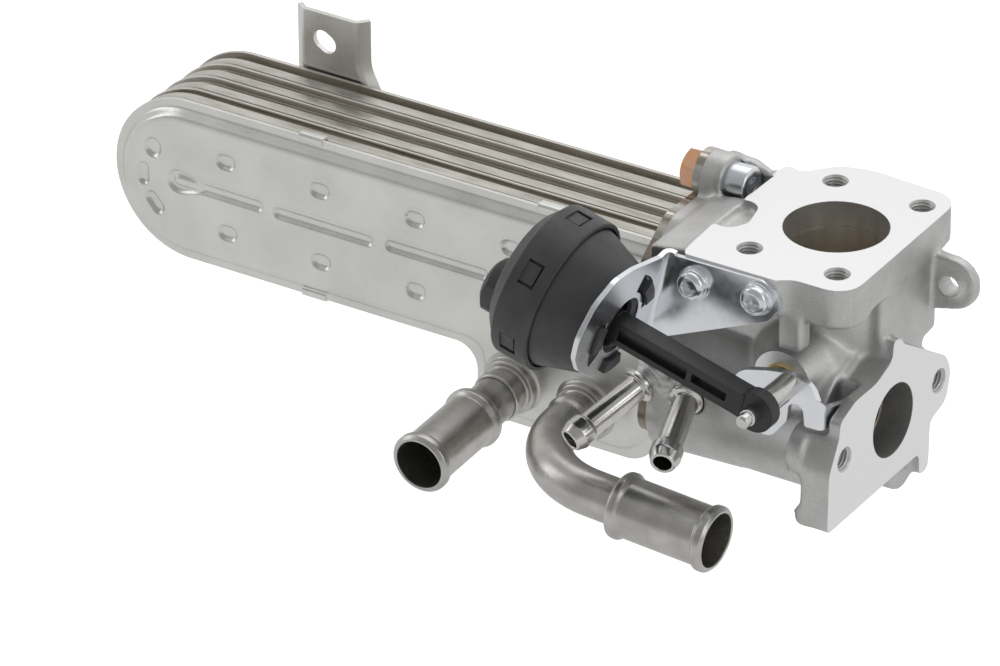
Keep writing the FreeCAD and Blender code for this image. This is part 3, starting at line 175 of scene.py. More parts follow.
# Core of the cooler
CORE_RADIUS = 31.5
CORE_MIDDLE = -50.0
CORE_END = -259.0
CORE_LIP = -12.0
CORE_PITCH = 10.9
CORE_LAYERS = 4
COVER_SHEET = 1.5
PANEL_RISE = 3.0
PANEL_INSET = 4.6
LIP_SHEET = 1.3
LOBE_LEFT = -121.0
LOBE_RIGHT = -80.0
LOBE_Z = -91.0
LOBE_RADIUS = 16.5
LOBE_FILLET = 9.0
NECK_INSET = 1.4
NECK_WIDTH = 0.9
BAND_INSET = 0.4
BAND_WIDTH = 5.2
SHOULDER_INSET = 2.4
SHELL_WALL = 4.2
CRIMP_TABS = (-211.2, -112.0)
CRIMP_LENGTH = 9.9
CRIMP_REACH = 3.7
SHOULDER_RUN = 0.5

# Embossings of the cover: pads and ribs are capsules pressed in to a depth
COVER_STEP = 0.5
PANEL_RAMP = (-2.2, 1.4)
PANEL_BEAD = 0.35
PANEL_BEAD_RAMPS = (1.0, 3.0, 8.0)
WALL_RAMP = (-0.4, 1.4)
RIM_RISE = 0.22
RIM_RAMPS = (-1.8, -0.5, -0.3, 0.5)
HEAD_CROWN = 0.9
HEAD_CROWN_LENGTH = 9.0
HEAD_CROWN_RAMP = (-0.6, 1.2)
PAD_FIRST_X = -240.8
PAD_PITCH = 39.9
PAD_HALF_LENGTH = 1.2
PAD_RADIUS = 3.0
PAD_ROWS = ((-36.3, 4), (-64.7, 3))
PRESSED = -1.1
PADS = [((PAD_FIRST_X + k * PAD_PITCH - PAD_HALF_LENGTH, z),
         (PAD_FIRST_X + k * PAD_PITCH + PAD_HALF_LENGTH, z),
         PAD_RADIUS, PRESSED, 0.0) for z, count in PAD_ROWS for k in range(count)]
END_PADS = [
    ((-272.2, -38.5), (-272.2, -39.3), 3.5, -1.2, 0.0),
    ((-276.6, -48.2), (-276.6, -52.6), 2.3, -1.0, 0.0),
    ((-273.4, -59.3), (-270.6, -62.6), 2.6, PRESSED, 0.0)]
RIB_RADIUS = 2.2
RIB_HEAD = 2.4
RIBS = [
    ((-261.6, -49.6), (-227.4, -49.9), RIB_RADIUS, PRESSED, RIB_HEAD),
    ((-218.7, -50.3), (-180.9, -50.5), RIB_RADIUS, PRESSED, 0.0),
    ((-171.5, -49.8), (-133.0, -49.9), RIB_RADIUS, PRESSED, 0.0)]

# Rear tab
TAB_LEFT = -239.2
TAB_RIGHT = -217.1
TAB_TOP = 4.5
TAB_FOOT = -34.0
TAB_FRONT = 32.7
TAB_SHEET = 2.0
TAB_WING = 3.3
TAB_LEFT_BACK = 2.4
TAB_RIGHT_BACK = 3.9
TAB_BEND = 2.6
TAB_BEND_SPAN = (-29.0, -21.0)
TAB_FLARE = 5.0
TAB_FLARE_SPAN = (-26.0, -11.0)
TAB_HOLE = (-230.1, -6.4)
TAB_HOLE_RADIUS = 3.7
TAB_HOLE_SPREAD = 1.2
TAB_HOLE_TURN = math.radians(31.0)

# Coolant pipes and nipples
PIPE_RADIUS = 8.3
PIPE_WALL = 1.0
STRAIGHT_FOOT = np.array([LOBE_LEFT, -14.0, -90.0])
STRAIGHT_MOUTH = np.array([-121.0, -75.0, -93.4])
STRAIGHT_RADIUS = 10.0
STRAIGHT_LENGTH = 38.0
ELBOW_FOOT = np.array([-91.0, -14.0, -91.0])
ELBOW_CORNER = np.array([-91.3, -60.0, -91.0])
ELBOW_MOUTH = np.array([-10.0, -60.0, -96.3])
ELBOW_BEND = 31.0
ELBOW_RADIUS = 10.75
ELBOW_LENGTH = 40.0
PIPE_BEAD = 1.2
SHOULDER_CREST = (1.9, 4.4)
SHOULDER_END = 6.0
MOUTH_FOOT = 4.6
MOUTH_CREST = (3.6, 1.2)
BORE_START = 3.0
FOOT_BEAD_RISE = 1.0
STRAIGHT_BEAD = (8.6, 9.4, 11.8, 12.6)
ELBOW_BEAD = (6.8, 8.4, 10.6, 12.2)
ELBOW_STEP = 1.2
ELBOW_ARC_STEPS = 48
COLLAR_RADIUS = 10.6
COLLAR_LENGTH = 3.6
NIPPLE_RADIUS = 4.5
NIPPLE_BORE = 3.2
NIPPLE_RING = 6.3
NIPPLE_BARB = 5.6
NIPPLE_SEAT = 12.0
NIPPLE_REACH = 32.0
FEED_LENGTH = 8.0
NIPPLE_RING_BACK = 1.9
NIPPLE_BARB_AT = (8.6, 7.4, 3.4)
LEFT_NIPPLE = (np.array([-54.3, -38.9, -59.4]), np.array([-0.31, -0.895, -0.33]))
RIGHT_NIPPLE = (np.array([-36.0, -38.0, -60.0]), np.array([0.28, -0.93, -0.235]))

# Actuator, measured along the rod from the pin
ROD_TILT = math.radians(15.1)
ROD_WAY = np.array([-math.cos(ROD_TILT), 0.0, math.sin(ROD_TILT)])
ROD_UP = np.array([math.sin(ROD_TILT), 0.0, math.cos(ROD_TILT)])
CAN_FRONT = 58.8
CAN_FRONT_RADIUS = 19.8
CAN_OPENING = 9.0
CAN_RIM = 76.5
CAN_RIM_RADIUS = 25.8
CAN_WALL = 1.6
BAYONET_LUGS = ((45.0, 79.0), (165.0, 199.0), (260.0, 294.0))
LUG_HEIGHT = 3.2
LUG_RADII = (13.4, 18.0)
CAP_WALL = 2.2
CAP_RADIUS = 28.2
CAP_BACK = 90.6
DOME_RADIUS = 26.6
DOME_BACK = 96.0
DOME_BACK_RADIUS = 21.5
HUB_OFFSET = 11.0
HUB_BACK = 107.0
HUB_RADIUS = 9.5
WINDOW_COUNT = 6
WINDOW_TURN_DEG = 8.0
WINDOW_WIDTH = 9.0
WINDOW_LENGTH = 6.2
WINDOW_DEPTH = 1.9
WINDOW_AT = 80.8
TONGUE_DEPTH = 0.75
TONGUE_GAP = 0.9
VACUUM_RADIUS = 2.6
VACUUM_BORE = 1.3
VACUUM_BARB = 0.5
VACUUM_REACH = 30.0
SEAM_DEPTH = 0.4

# Finishes that only some pieces of a slot have, room light and floor
STACK_FINISH = "brazed stack"
ROD_FINISH = "glossy black plastic"
ROOM_LEVEL = 0.62
ROOM_BACK = 0.28
ROOM_UP = -0.12
ROOM_LEAST = 0.2
FLOOR_HALF = 3.0
FLOOR_DROP = 60.0
FLOOR_LIGHT = 0.46
FLOOR_SEEN = 1.0


def camera():
    """Camera whose image axes are the world turned by the measured angles, looking down on the part."""
    turn, rise, roll = np.radians([CAMERA_TURN_DEG, CAMERA_RISE_DEG, CAMERA_ROLL_DEG])
    right = np.array([np.cos(turn), np.sin(turn), 0.0])
    level = np.array([-np.sin(turn), np.cos(turn), 0.0])
    ahead = np.cos(rise) * level - np.array([0.0, 0.0, np.sin(rise)])
    down = np.cross(ahead, right)
    spin = np.array([[np.cos(roll), -np.sin(roll)], [np.sin(roll), np.cos(roll)]])
    right, down = spin @ np.stack([right, down])
    axes = np.stack([right, down, ahead])
    place = -axes.T @ np.array([CAMERA_SHIFT_RIGHT, CAMERA_SHIFT_DOWN, CAMERA_DISTANCE])
    data = bpy.data.cameras.new("camera")
    data.sensor_width = SENSOR_MM
    data.lens = FOCAL_PX / PHOTO_WIDTH * SENSOR_MM
    data.clip_start = 0.05
    data.clip_end = 50.0
    eye = linked("camera", data)
    turn_matrix = Matrix(np.stack([right, -down, -ahead], axis=1).tolist()).to_4x4()
    eye.matrix_world = Matrix.Translation(place.tolist()) @ turn_matrix
    bpy.context.scene.camera = eye


def linked(name, data):
    """Object of some data, put into the scene."""
    made = bpy.data.objects.new(name, data)
    bpy.context.scene.collection.objects.link(made)
    return made


def unit(way):
    """Direction of length one."""
    way = np.asarray(way, float)
    return way / np.linalg.norm(way)


def across(way):
    """Two directions square to a way and to each other, the second turned a quarter turn on about it."""
    way = unit(way)
    helper = np.array([0.0, 0.0, 1.0]) if abs(way[2]) < 0.9 else np.array([1.0, 0.0, 0.0])
    first = unit(np.cross(helper, way))
    return first, np.cross(way, first)


def circle(first, second, steps):
    """Points of length one round a circle: cos * first + sin * second."""
    angle = np.linspace(0.0, 2 * math.pi, steps, endpoint=False)
    return np.cos(angle)[:, None] * first + np.sin(angle)[:, None] * second


def arc_between(centre, start, end, half, steps):
    """Arc about a centre from start to end, half being half the angle between the sides it joins: the two
    radii blended by the sines of their shares of the sweep."""
    share = np.linspace(0.0, 1.0, steps + 1)[:, None]
    sweep = math.pi - 2 * half
    blend = np.sin((1 - share) * sweep) * (start - centre) + np.sin(share * sweep) * (end - centre)
    return centre + blend / math.sin(sweep)


def rounded(corners, steps=6):
    """Closed outline whose corners (a, b, radius) are arcs tangent to both sides, with the centre on the
    bisector at the radius over the sine of half the corner's angle."""
    spots = np.array([corner[:2] for corner in corners], float)
    count = len(spots)
    outline = []
    for i in range(count):
        here = spots[i]
        before = spots[i - 1] - here
        after = spots[(i + 1) % count] - here
        room = 0.499 * min(np.linalg.norm(before), np.linalg.norm(after))
        before = unit(before)
        after = unit(after)
        half = math.acos(np.clip(before @ after, -1.0, 1.0)) / 2
        radius = corners[i][2]
        if radius < 1e-4 or abs(half - math.pi / 2) < 1e-3:
            outline.append(np.repeat(here[None], steps + 1, axis=0))
            continue
        trim = min(radius / math.tan(half), room)
        radius = trim * math.tan(half)
        centre = here + unit(before + after) * radius / math.sin(half)
        outline.append(arc_between(centre, here + before * trim, here + after * trim, half, steps))
    return np.concatenate(outline)


def skin(name, points, close_rows=True, close_columns=True):
    """Mesh object of a grid of points in millimetres: rows by columns, each closed on itself where told.
    Ends that stay open are capped by one face each, points that coincide are merged, faces turned
    outwards."""
    rows, columns = points.shape[:2]
    index = np.arange(rows * columns).reshape(rows, columns)
    top = index if close_rows else index[:-1]
    low = np.roll(index, -1, axis=0) if close_rows else index[1:]
    if close_columns:
        quads = np.stack([top, np.roll(top, -1, axis=1), np.roll(low, -1, axis=1), low], axis=-1)
    else:
        quads = np.stack([top[:, :-1], top[:, 1:], low[:, 1:], low[:, :-1]], axis=-1)
    faces = quads.reshape(-1, 4).tolist()
    if not close_rows:
        faces += [index[0].tolist(), index[-1].tolist()]
    if not close_columns:
        faces += [index[:, 0].tolist(), index[:, -1].tolist()]
    mesh = bpy.data.meshes.new(name)
    mesh.from_pydata((points.reshape(-1, 3) * MM).tolist(), [], faces)
    return clean_object(name, mesh)


def clean_object(name, mesh):
    """Object of a mesh whose doubles are merged and whose faces point outwards."""
    work = bmesh.new()
    work.from_mesh(mesh)
    bmesh.ops.remove_doubles(work, verts=work.verts, dist=1e-6)
    bmesh.ops.dissolve_degenerate(work, edges=work.edges, dist=1e-7)
    bmesh.ops.recalc_face_normals(work, faces=work.faces)
    if work.calc_volume(signed=True) < 0:
        bmesh.ops.reverse_faces(work, faces=work.faces)
    work.to_mesh(mesh)
    work.free()
    return linked(name, mesh)


def turned(name, outline, start, way, steps=96, offset=(0.0, 0.0)):
    """Turned piece: every outline point (radius, height) runs round the axis, at start + height * way +
    radius * (cos * first + sin * second); the axis may be shifted sideways by an offset."""
    first, second = across(way)
    ring = circle(first, second, steps)
    foot = np.asarray(start, float) + offset[0] * first + offset[1] * second
    points = foot + outline[:, None, 1, None] * unit(way) + outline[:, None, 0, None] * ring[None]
    return skin(name, points)


def bar(name, outline, start, way, first, length):
    """Straight prism: an outline (a, b) along the directions first and way x first, carried along way."""
    way = unit(way)
    first = unit(first)
    second = np.cross(way, first)
    flat = np.asarray(start, float) + outline[:, 0, None] * first + outline[:, 1, None] * second
    return skin(name, np.stack([flat, flat + way * length]), close_rows=False)


def round_bar(name, radius, start, end, steps=64):
    """Plain cylinder between two points."""
    start = np.asarray(start, float)
    way = np.asarray(end, float) - start
    height = np.linalg.norm(way)
    outline = np.array([(0.0, 0.0), (radius, 0.0), (radius, height), (0.0, height)])
    return turned(name, outline, start, way, steps)


def tube_along(path, radius, steps=64):
    """Grid of a round tube: at each path point a ring square to the path, its first direction kept level
    by projecting one fixed direction, so the tube doesn't twist."""
    tangent = np.gradient(path, axis=0)
    tangent /= np.linalg.norm(tangent, axis=1)[:, None]
    fixed = np.array([0.0, 0.0, 1.0])
    first = fixed - (tangent @ fixed)[:, None] * tangent
    first /= np.linalg.norm(first, axis=1)[:, None]
    second = np.cross(tangent, first)
    angle = np.linspace(0.0, 2 * math.pi, steps, endpoint=False)
    size = np.broadcast_to(radius, (len(path),))[:, None, None]
    ring = np.cos(angle)[None, :, None] * first[:, None] + np.sin(angle)[None, :, None] * second[:, None]
    return path[:, None] + size * ring


def baked_modifiers(piece):
    """Make a piece's modifiers final."""
    graph = bpy.context.evaluated_depsgraph_get()
    mesh = bpy.data.meshes.new_from_object(piece.evaluated_get(graph))
    old = piece.data
    piece.modifiers.clear()
    piece.data = mesh
    bpy.data.meshes.remove(old)


def combined(target, tools, operation):
    """Apply a solid operation of one object with others, which are used up."""
    for tool in tools:
        modifier = target.modifiers.new("solid", "BOOLEAN")
        modifier.operation = operation
        modifier.solver = SOLVER
        modifier.object = tool
        baked_modifiers(target)
        bpy.data.objects.remove(tool)
    return target


def one_mesh(name, pieces):
    """Several objects put into one."""
    work = bmesh.new()
    for piece in pieces:
        work.from_mesh(piece.data)
        bpy.data.objects.remove(piece)
    mesh = bpy.data.meshes.new(name)
    work.to_mesh(mesh)
    work.free()
    return linked(name, mesh)


def placed(piece, body, nodes, slot, crease_deg=32.0, finish=None):
    """Finish a piece: smooth shading up to a crease angle, its finish, its body and the nodes it stands
    for."""
    piece.data.shade_smooth()
    piece.data.set_sharp_from_angle(angle=math.radians(crease_deg))
    piece.data.materials.clear()
    piece.data.materials.append(finishes[finish or slot])
    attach(piece, body)
    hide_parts(*nodes)
    return piece


def core_outline(inset, steps=16):
    """Stadium of the core with its lower lobe, drawn in by an inset, from the joint's top round to its foot:
    arcs of the radius less the inset outside, and of the fillet plus the inset in the hollow corner."""
    radius = CORE_RADIUS - inset
    low = CORE_MIDDLE - radius
    lobe = LOBE_RADIUS - inset
    corners = [
        (JOINT, CORE_MIDDLE + radius, 0), (CORE_END - radius, CORE_MIDDLE + radius, radius),
        (CORE_END - radius, low, radius), (LOBE_LEFT - lobe, low, LOBE_FILLET + inset),
        (LOBE_LEFT - lobe, LOBE_Z - lobe, lobe), (LOBE_RIGHT + lobe, LOBE_Z - lobe, lobe),
        (LOBE_RIGHT + lobe, low, 2.0), (JOINT, low, 0)]
    return rounded(corners, steps)


def cooler_shells():
    """Four nested pressings. Each is one closed profile (depth, inset) of neck, band, shoulder and lip, with
    rounded bends, carried round the core's outline drawn in by the inset."""
    for k in range(CORE_LAYERS):
        start = CORE_LIP + k * CORE_PITCH + (COVER_SHEET if k == 0 else 0.0)
        end = CORE_LIP + (k + 1) * CORE_PITCH
        band = start + NECK_WIDTH
        shoulder = band + BAND_WIDTH
        lip = end - LIP_SHEET
        corners = [
            (start, SHELL_WALL, 0), (start, NECK_INSET, 0), (band, NECK_INSET, 0.3), (band, BAND_INSET, 0.9),
            (shoulder, BAND_INSET, 1.3), (shoulder + SHOULDER_RUN, SHOULDER_INSET, 0.8)]
        if k < CORE_LAYERS - 1:
            corners += [(lip, SHOULDER_INSET, 0.5), (lip, 0.0, 0.55), (end, 0.0, 0.55), (end, SHELL_WALL, 0)]
        else:
            corners += [(lip, SHOULDER_INSET, 0), (lip, SHELL_WALL, 0)]
        profile = rounded(corners, 5)
        rows = [np.insert(core_outline(inset), 1, depth, axis=1) for depth, inset in profile]
        piece = skin("shell_%d" % (k + 1), np.stack(rows), close_columns=False)
        placed(piece, ROOT, ["cooler_shell_%d" % (k + 1)], "stainless sheet", 32.0, STACK_FINISH)


def smooth_step(value, low, high):
    """Zero below low, one above high, and a cubic S between them."""
    share = np.clip((value - low) / (high - low), 0.0, 1.0)
    return share * share * (3 - 2 * share)


def capsule(x, z, start, end, radius, head=0.0):
    """Distance of points to the outline of a capsule, negative inside it; a head widens its start, fading
    out as an S over the first third of its length."""
    start = np.asarray(start, float)
    run = np.asarray(end, float) - start
    share = np.clip(((x - start[0]) * run[0] + (z - start[1]) * run[1]) / max(run @ run, 1e-9), 0.0, 1.0)
    radius = radius + head * (1 - smooth_step(share, 0.0, 0.34))
    return np.hypot(x - start[0] - share * run[0], z - start[1] - share * run[1]) - radius


def cover_distance(x, z):
    """How far a point lies inside the core's outline: the deeper of the stadium's and the lobe's distance,
    the two blended by a circular fillet where they meet."""
    stadium = CORE_RADIUS - np.hypot(np.minimum(x - CORE_END, 0.0), z - CORE_MIDDLE)
    middle = (LOBE_LEFT + LOBE_RIGHT) / 2
    half = (LOBE_RIGHT - LOBE_LEFT) / 2
    side = np.maximum(np.abs(x - middle) - half, 0.0)
    lobe = np.minimum(LOBE_RADIUS - np.hypot(side, np.minimum(z - LOBE_Z, 0.0)), CORE_MIDDLE - z)
    deeper = np.maximum(stadium, lobe)
    blend = np.maximum(LOBE_FILLET - np.abs(stadium - lobe), 0.0) / LOBE_FILLET
    outer = (x < middle) & (stadium < LOBE_FILLET) & (lobe < LOBE_FILLET)
    return deeper + np.where(outer, blend * blend * LOBE_FILLET * 0.25, 0.0)


def cover_height(x, z):
    """Depth of the cover's face along Y: the lip, a rounded step up to the panel, then pads and ribs pressed
    in, each with sloping walls, a thin raised rim round them and a shallow crown on the head of a rib."""
    inside = cover_distance(x, z)
    bead_foot, bead_top, bead_end = (PANEL_INSET + ramp for ramp in PANEL_BEAD_RAMPS)
    rise = PANEL_RISE * smooth_step(inside, PANEL_INSET + PANEL_RAMP[0], PANEL_INSET + PANEL_RAMP[1])
    rise += PANEL_BEAD * smooth_step(inside, bead_foot, bead_top)
    rise -= PANEL_BEAD * smooth_step(inside, bead_top, bead_end)
    for start, end, radius, depth, head in PADS + END_PADS + RIBS:
        away = capsule(x, z, start, end, radius, head)
        rise += depth * smooth_step(-away, *WALL_RAMP)
        rise += RIM_RISE * smooth_step(-away, *RIM_RAMPS[:2]) * smooth_step(away, *RIM_RAMPS[2:])
        if head:
            inner = capsule(x, z, start, np.add(start, (HEAD_CROWN_LENGTH, 0.0)), radius - 0.2)
            rise += HEAD_CROWN * smooth_step(-inner, *HEAD_CROWN_RAMP)
    return CORE_LIP - rise


def front_cover():
    """Cover plate: a closed slab whose front is the height field on an even grid, cut to the core's
    outline."""
    x = np.arange(CORE_END - CORE_RADIUS - 1.0, JOINT + 0.01, COVER_STEP)
    z = np.arange(LOBE_Z - LOBE_RADIUS - 1.0, CORE_MIDDLE + CORE_RADIUS + 1.0, COVER_STEP)
    grid_x, grid_z = np.meshgrid(x, z)
    front = np.stack([grid_x, cover_height(grid_x, grid_z), grid_z], axis=-1)
    back = front.copy()
    back[..., 1] = CORE_LIP + COVER_SHEET
    rows, columns = grid_x.shape
    index = np.arange(rows * columns).reshape(rows, columns)
    quads = np.stack([index[:-1, :-1], index[:-1, 1:], index[1:, 1:], index[1:, :-1]], axis=-1)
    quads = quads.reshape(-1, 4)
    border = np.concatenate([index[0], index[1:, -1], index[-1, -2::-1], index[-2:0:-1, 0]])
    behind = np.arange(len(border)) + rows * columns
    walls = np.stack([border, np.roll(border, -1), np.roll(behind, -1), behind], axis=-1)
    points = np.concatenate([front.reshape(-1, 3), back.reshape(-1, 3)[border]])
    mesh = bpy.data.meshes.new("front_cover")
    mesh.from_pydata((points * MM).tolist(), [], quads.tolist() + walls.tolist() + [behind.tolist()])
    slab = clean_object("front_cover", mesh)
    outline = core_outline(0.0, 24)
    cutter = bar("cutter", outline, (0.0, CORE_LIP + 20.0, 0.0), FRONT, RIGHT, 40.0)
    combined(slab, [cutter], "INTERSECT")
    reach = np.array([0, 20, 0])
    feet = [round_bar("foot", PIPE_RADIUS - PIPE_WALL, foot - reach, foot + reach)
            for foot in (STRAIGHT_FOOT, ELBOW_FOOT)]
    combined(slab, feet, "DIFFERENCE")
    combined(slab, crimp_tabs(), "UNION")
    placed(slab, ROOT, ["cooler_front_plate"], "stainless sheet", 50.0)


def crimp_tabs():
    """Tabs of the cover folded back over the first shell: a hook-shaped outline (depth, height over the
    edge) with a round fold, carried along X."""
    front = CORE_LIP - 0.4
    inside = CORE_LIP + LIP_SHEET
    tip = CORE_LIP + CRIMP_REACH
    hook = rounded([(front, -1.8, 0.3), (front, 1.1, 1.1), (tip, 0.9, 0.45), (tip, 0.0, 0.2),
                    (inside, -0.2, 0), (inside, -1.8, 0)], 5)
    edges = ((CORE_MIDDLE + CORE_RADIUS, RIGHT), (CORE_MIDDLE - CORE_RADIUS, LEFT))
    tabs = []
    for z, way in edges:
        for left in CRIMP_TABS:
            start = left if way == RIGHT else left + CRIMP_LENGTH
            tabs.append(bar("crimp", hook, (start, 0.0, z), way, BACK, CRIMP_LENGTH))
    return tabs


def hose_end(radius, bore, length, foot_radius):
    """Outline (radius, height) of a hose end: a shoulder bead, a plain sleeve and a rolled mouth bead, all
    with round bends, and the bore behind a lip of the tube's own wall."""
    top = radius + PIPE_BEAD
    foot_bore = foot_radius - PIPE_WALL
    return rounded([
        (foot_radius, 0.0, 0), (top, SHOULDER_CREST[0], 1.6), (top + 0.1, SHOULDER_CREST[1], 1.5),
        (radius, SHOULDER_END, 1.2), (radius, length - MOUTH_FOOT, 1.2), (top, length - MOUTH_CREST[0], 1.0),
        (top, length - MOUTH_CREST[1], 1.1), (radius - 0.1, length, 0.5), (bore, length, 0.45),
        (bore, BORE_START, 1.0), (foot_bore, 0.5, 0), (foot_bore, 0.0, 0)], 7)


def straight_pipe():
    """Straight stub: one turned outline from the cover to the hose end, with a rolled bead near its foot."""
    way = unit(STRAIGHT_MOUTH - STRAIGHT_FOOT)
    whole = np.linalg.norm(STRAIGHT_MOUTH - STRAIGHT_FOOT)
    sleeve = hose_end(STRAIGHT_RADIUS, STRAIGHT_RADIUS - PIPE_WALL, STRAIGHT_LENGTH, PIPE_RADIUS)
    sleeve[:, 1] += whole - STRAIGHT_LENGTH
    crest = PIPE_RADIUS + FOOT_BEAD_RISE
    radii = (PIPE_RADIUS, crest, crest, PIPE_RADIUS)
    bead = rounded([(radius, height, 0.8) for radius, height in zip(radii, STRAIGHT_BEAD)], 5)
    foot = np.array([(PIPE_RADIUS - PIPE_WALL, 1.0), (PIPE_RADIUS, 1.0)])
    piece = turned("straight_pipe", np.concatenate([foot, bead, sleeve]), STRAIGHT_FOOT, way, 128)
    placed(piece, ROOT, ["straight_coolant_pipe"], "stainless tube", 60.0)


def elbow_path():
    """Centre line of the elbow: the run from the cover, an arc tangent to both runs, and the run to the
    sleeve, at even steps."""
    first = unit(ELBOW_FOOT - ELBOW_CORNER)
    second = unit(ELBOW_MOUTH - ELBOW_CORNER)
    half = math.acos(first @ second) / 2
    trim = ELBOW_BEND / math.tan(half)
    start = ELBOW_CORNER + first * trim
    end = ELBOW_CORNER + second * trim
    centre = ELBOW_CORNER + unit(first + second) * ELBOW_BEND / math.sin(half)
    sleeve_start = ELBOW_MOUTH - second * ELBOW_LENGTH
    foot = ELBOW_FOOT - first * 1.0
    steps_in = int(np.linalg.norm(start - foot) / ELBOW_STEP) + 2
    run_in = foot + np.linspace(0, 1, steps_in)[:-1, None] * (start - foot)
    arc = arc_between(centre, start, end, half, ELBOW_ARC_STEPS)
    reach = np.linalg.norm(sleeve_start - end)
    steps_out = max(int(reach / ELBOW_STEP), 1) + 1
    run_out = end + np.linspace(0, 1, steps_out)[1:, None] * (sleeve_start - end)
    return np.concatenate([run_in, arc, run_out]), second


def elbow_pipe():
    """Elbow: rings along the centre line, out to the hose end's outline and back along the bore, as one
    closed skin; the bead near the foot is a bulge of the ring's radius."""
    path, way = elbow_path()
    along = np.concatenate([[0.0], np.cumsum(np.linalg.norm(np.diff(path, axis=0), axis=1))])
    bulge = FOOT_BEAD_RISE * smooth_step(along, *ELBOW_BEAD[:2]) * (1 - smooth_step(along, *ELBOW_BEAD[2:]))
    outside = tube_along(path, PIPE_RADIUS + bulge, 128)
    inside = tube_along(path, PIPE_RADIUS - PIPE_WALL, 128)
    sleeve = hose_end(ELBOW_RADIUS, ELBOW_RADIUS - PIPE_WALL, ELBOW_LENGTH, PIPE_RADIUS)[:-1]
    ends = ELBOW_MOUTH - way * (ELBOW_LENGTH - sleeve[:, 1, None])
    fixed = np.array([0.0, 0.0, 1.0])
    first = unit(fixed - (way @ fixed) * way)
    ring = circle(first, np.cross(way, first), 128)
    mouth = ends[:, None] + sleeve[:, 0, None, None] * ring[None]
    piece = skin("elbow_pipe", np.concatenate([outside[:-1], mouth, inside[::-1]]))
    placed(piece, ROOT, ["elbow_coolant_pipe"], "stainless tube", 60.0)


def pipe_collars():
    """Brazed collars: a ring with a rounded outer edge and a small braze fillet at the cover."""
    face = CORE_LIP - PANEL_RISE
    for name, foot, way in (("straight_collar", STRAIGHT_FOOT, unit(STRAIGHT_MOUTH - STRAIGHT_FOOT)),
                            ("elbow_collar", ELBOW_FOOT, unit(ELBOW_CORNER - ELBOW_FOOT))):
        start = foot + way * ((face - foot[1]) / way[1])
        outline = rounded([
            (PIPE_RADIUS - 0.2, -0.5, 0), (COLLAR_RADIUS + 1.5, -0.5, 0), (COLLAR_RADIUS + 1.4, 0.2, 0.2),
            (COLLAR_RADIUS, 0.9, 0.8), (COLLAR_RADIUS, COLLAR_LENGTH, 1.0),
            (PIPE_RADIUS + 0.6, COLLAR_LENGTH, 0.2), (PIPE_RADIUS - 0.2, COLLAR_LENGTH + 0.6, 0)], 6)
        placed(turned(name, outline, start, way, 96), ROOT, [name.replace("collar", "pipe_collar")],
               "stainless tube", 50.0)


def coolant_nipples():
    """Plated nipples: stem, round bead ring, tube, tapered barb with a round back, and a bore."""
    length = NIPPLE_SEAT + NIPPLE_REACH
    seat = NIPPLE_SEAT
    barb_foot, barb_back, barb_front = (length - spot for spot in NIPPLE_BARB_AT)
    outline = rounded([
        (NIPPLE_BORE, 0, 0), (NIPPLE_RADIUS, 0, 0), (NIPPLE_RADIUS, seat - NIPPLE_RING_BACK, 0.4),
        (NIPPLE_RING, seat - 1.6, 0.7), (NIPPLE_RING, seat + 0.6, 0.7), (NIPPLE_RADIUS, seat + 1.2, 0.6),
        (NIPPLE_RADIUS, barb_foot, 0.8), (NIPPLE_BARB, barb_back, 0.9), (NIPPLE_BARB, barb_front, 2.2),
        (NIPPLE_RADIUS - 0.2, length, 0.7), (NIPPLE_BORE, length, 0.4)], 7)
    for name, (ring, way) in (("left", LEFT_NIPPLE), ("right", RIGHT_NIPPLE)):
        way = unit(way)
        piece = turned(name + "_nipple", outline, ring - way * seat, way, 96)
        placed(piece, ROOT, [name + "_coolant_nipple"], "bright steel", 55.0)


def thread_cutter(name, start, way, depth):
    """Solid of a tapped hole: rings whose radius swings between crest and root once a pitch and is turned
    along a helix, so the radius is a wave of height minus angle, under a plain cone at the mouth."""
    rows = int(depth / THREAD_ROW)
    height = np.linspace(0.0, depth, rows)
    angle = np.linspace(0.0, 2 * math.pi, THREAD_SIDES, endpoint=False)
    turn = height[:, None] / THREAD_PITCH - angle[None] / (2 * math.pi)
    wave = np.abs((turn % 1.0) * 2 - 1)
    radius = TAP_RADIUS + THREAD_DEPTH * np.clip(wave * THREAD_FLANKS[0] + THREAD_FLANKS[1], 0.0, 1.0)
    radius = np.maximum(radius, (TAP_RADIUS + CHAMFER - height)[:, None])
    fade = smooth_step(height, depth - THREAD_RUNOUT[0], depth - THREAD_RUNOUT[1])[:, None]
    radius = radius * (1 - fade) + TAP_RADIUS * fade
    way = -unit(way)
    ring = circle(*across(way), THREAD_SIDES)
    height[0] = -3.0
    radius[0] = radius[1] + 2.8
    points = np.asarray(start, float) + height[:, None, None] * way + radius[..., None] * ring[None]
    return skin(name, points, close_rows=False)


def block(low, high):
    """Box between two corners."""
    low = np.asarray(low, float)
    high = np.asarray(high, float)
    outline = np.array([(low[0], low[1]), (high[0], low[1]), (high[0], high[1]), (low[0], high[1])])
    return bar("block", outline, (0.0, 0.0, low[2]), UP, RIGHT, high[2] - low[2])


def node_copy(node, name):
    """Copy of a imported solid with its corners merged."""
    work = bmesh.new()
    work.from_mesh(frame["nodes"][node].data)
    bmesh.ops.remove_doubles(work, verts=work.verts, dist=1e-6)
    mesh = bpy.data.meshes.new(name)
    work.to_mesh(mesh)
    work.free()
    return linked(name, mesh)


def on_shaft(y):
    """Point of the flap shaft's axis."""
    return (0, y, SHAFT_Z)


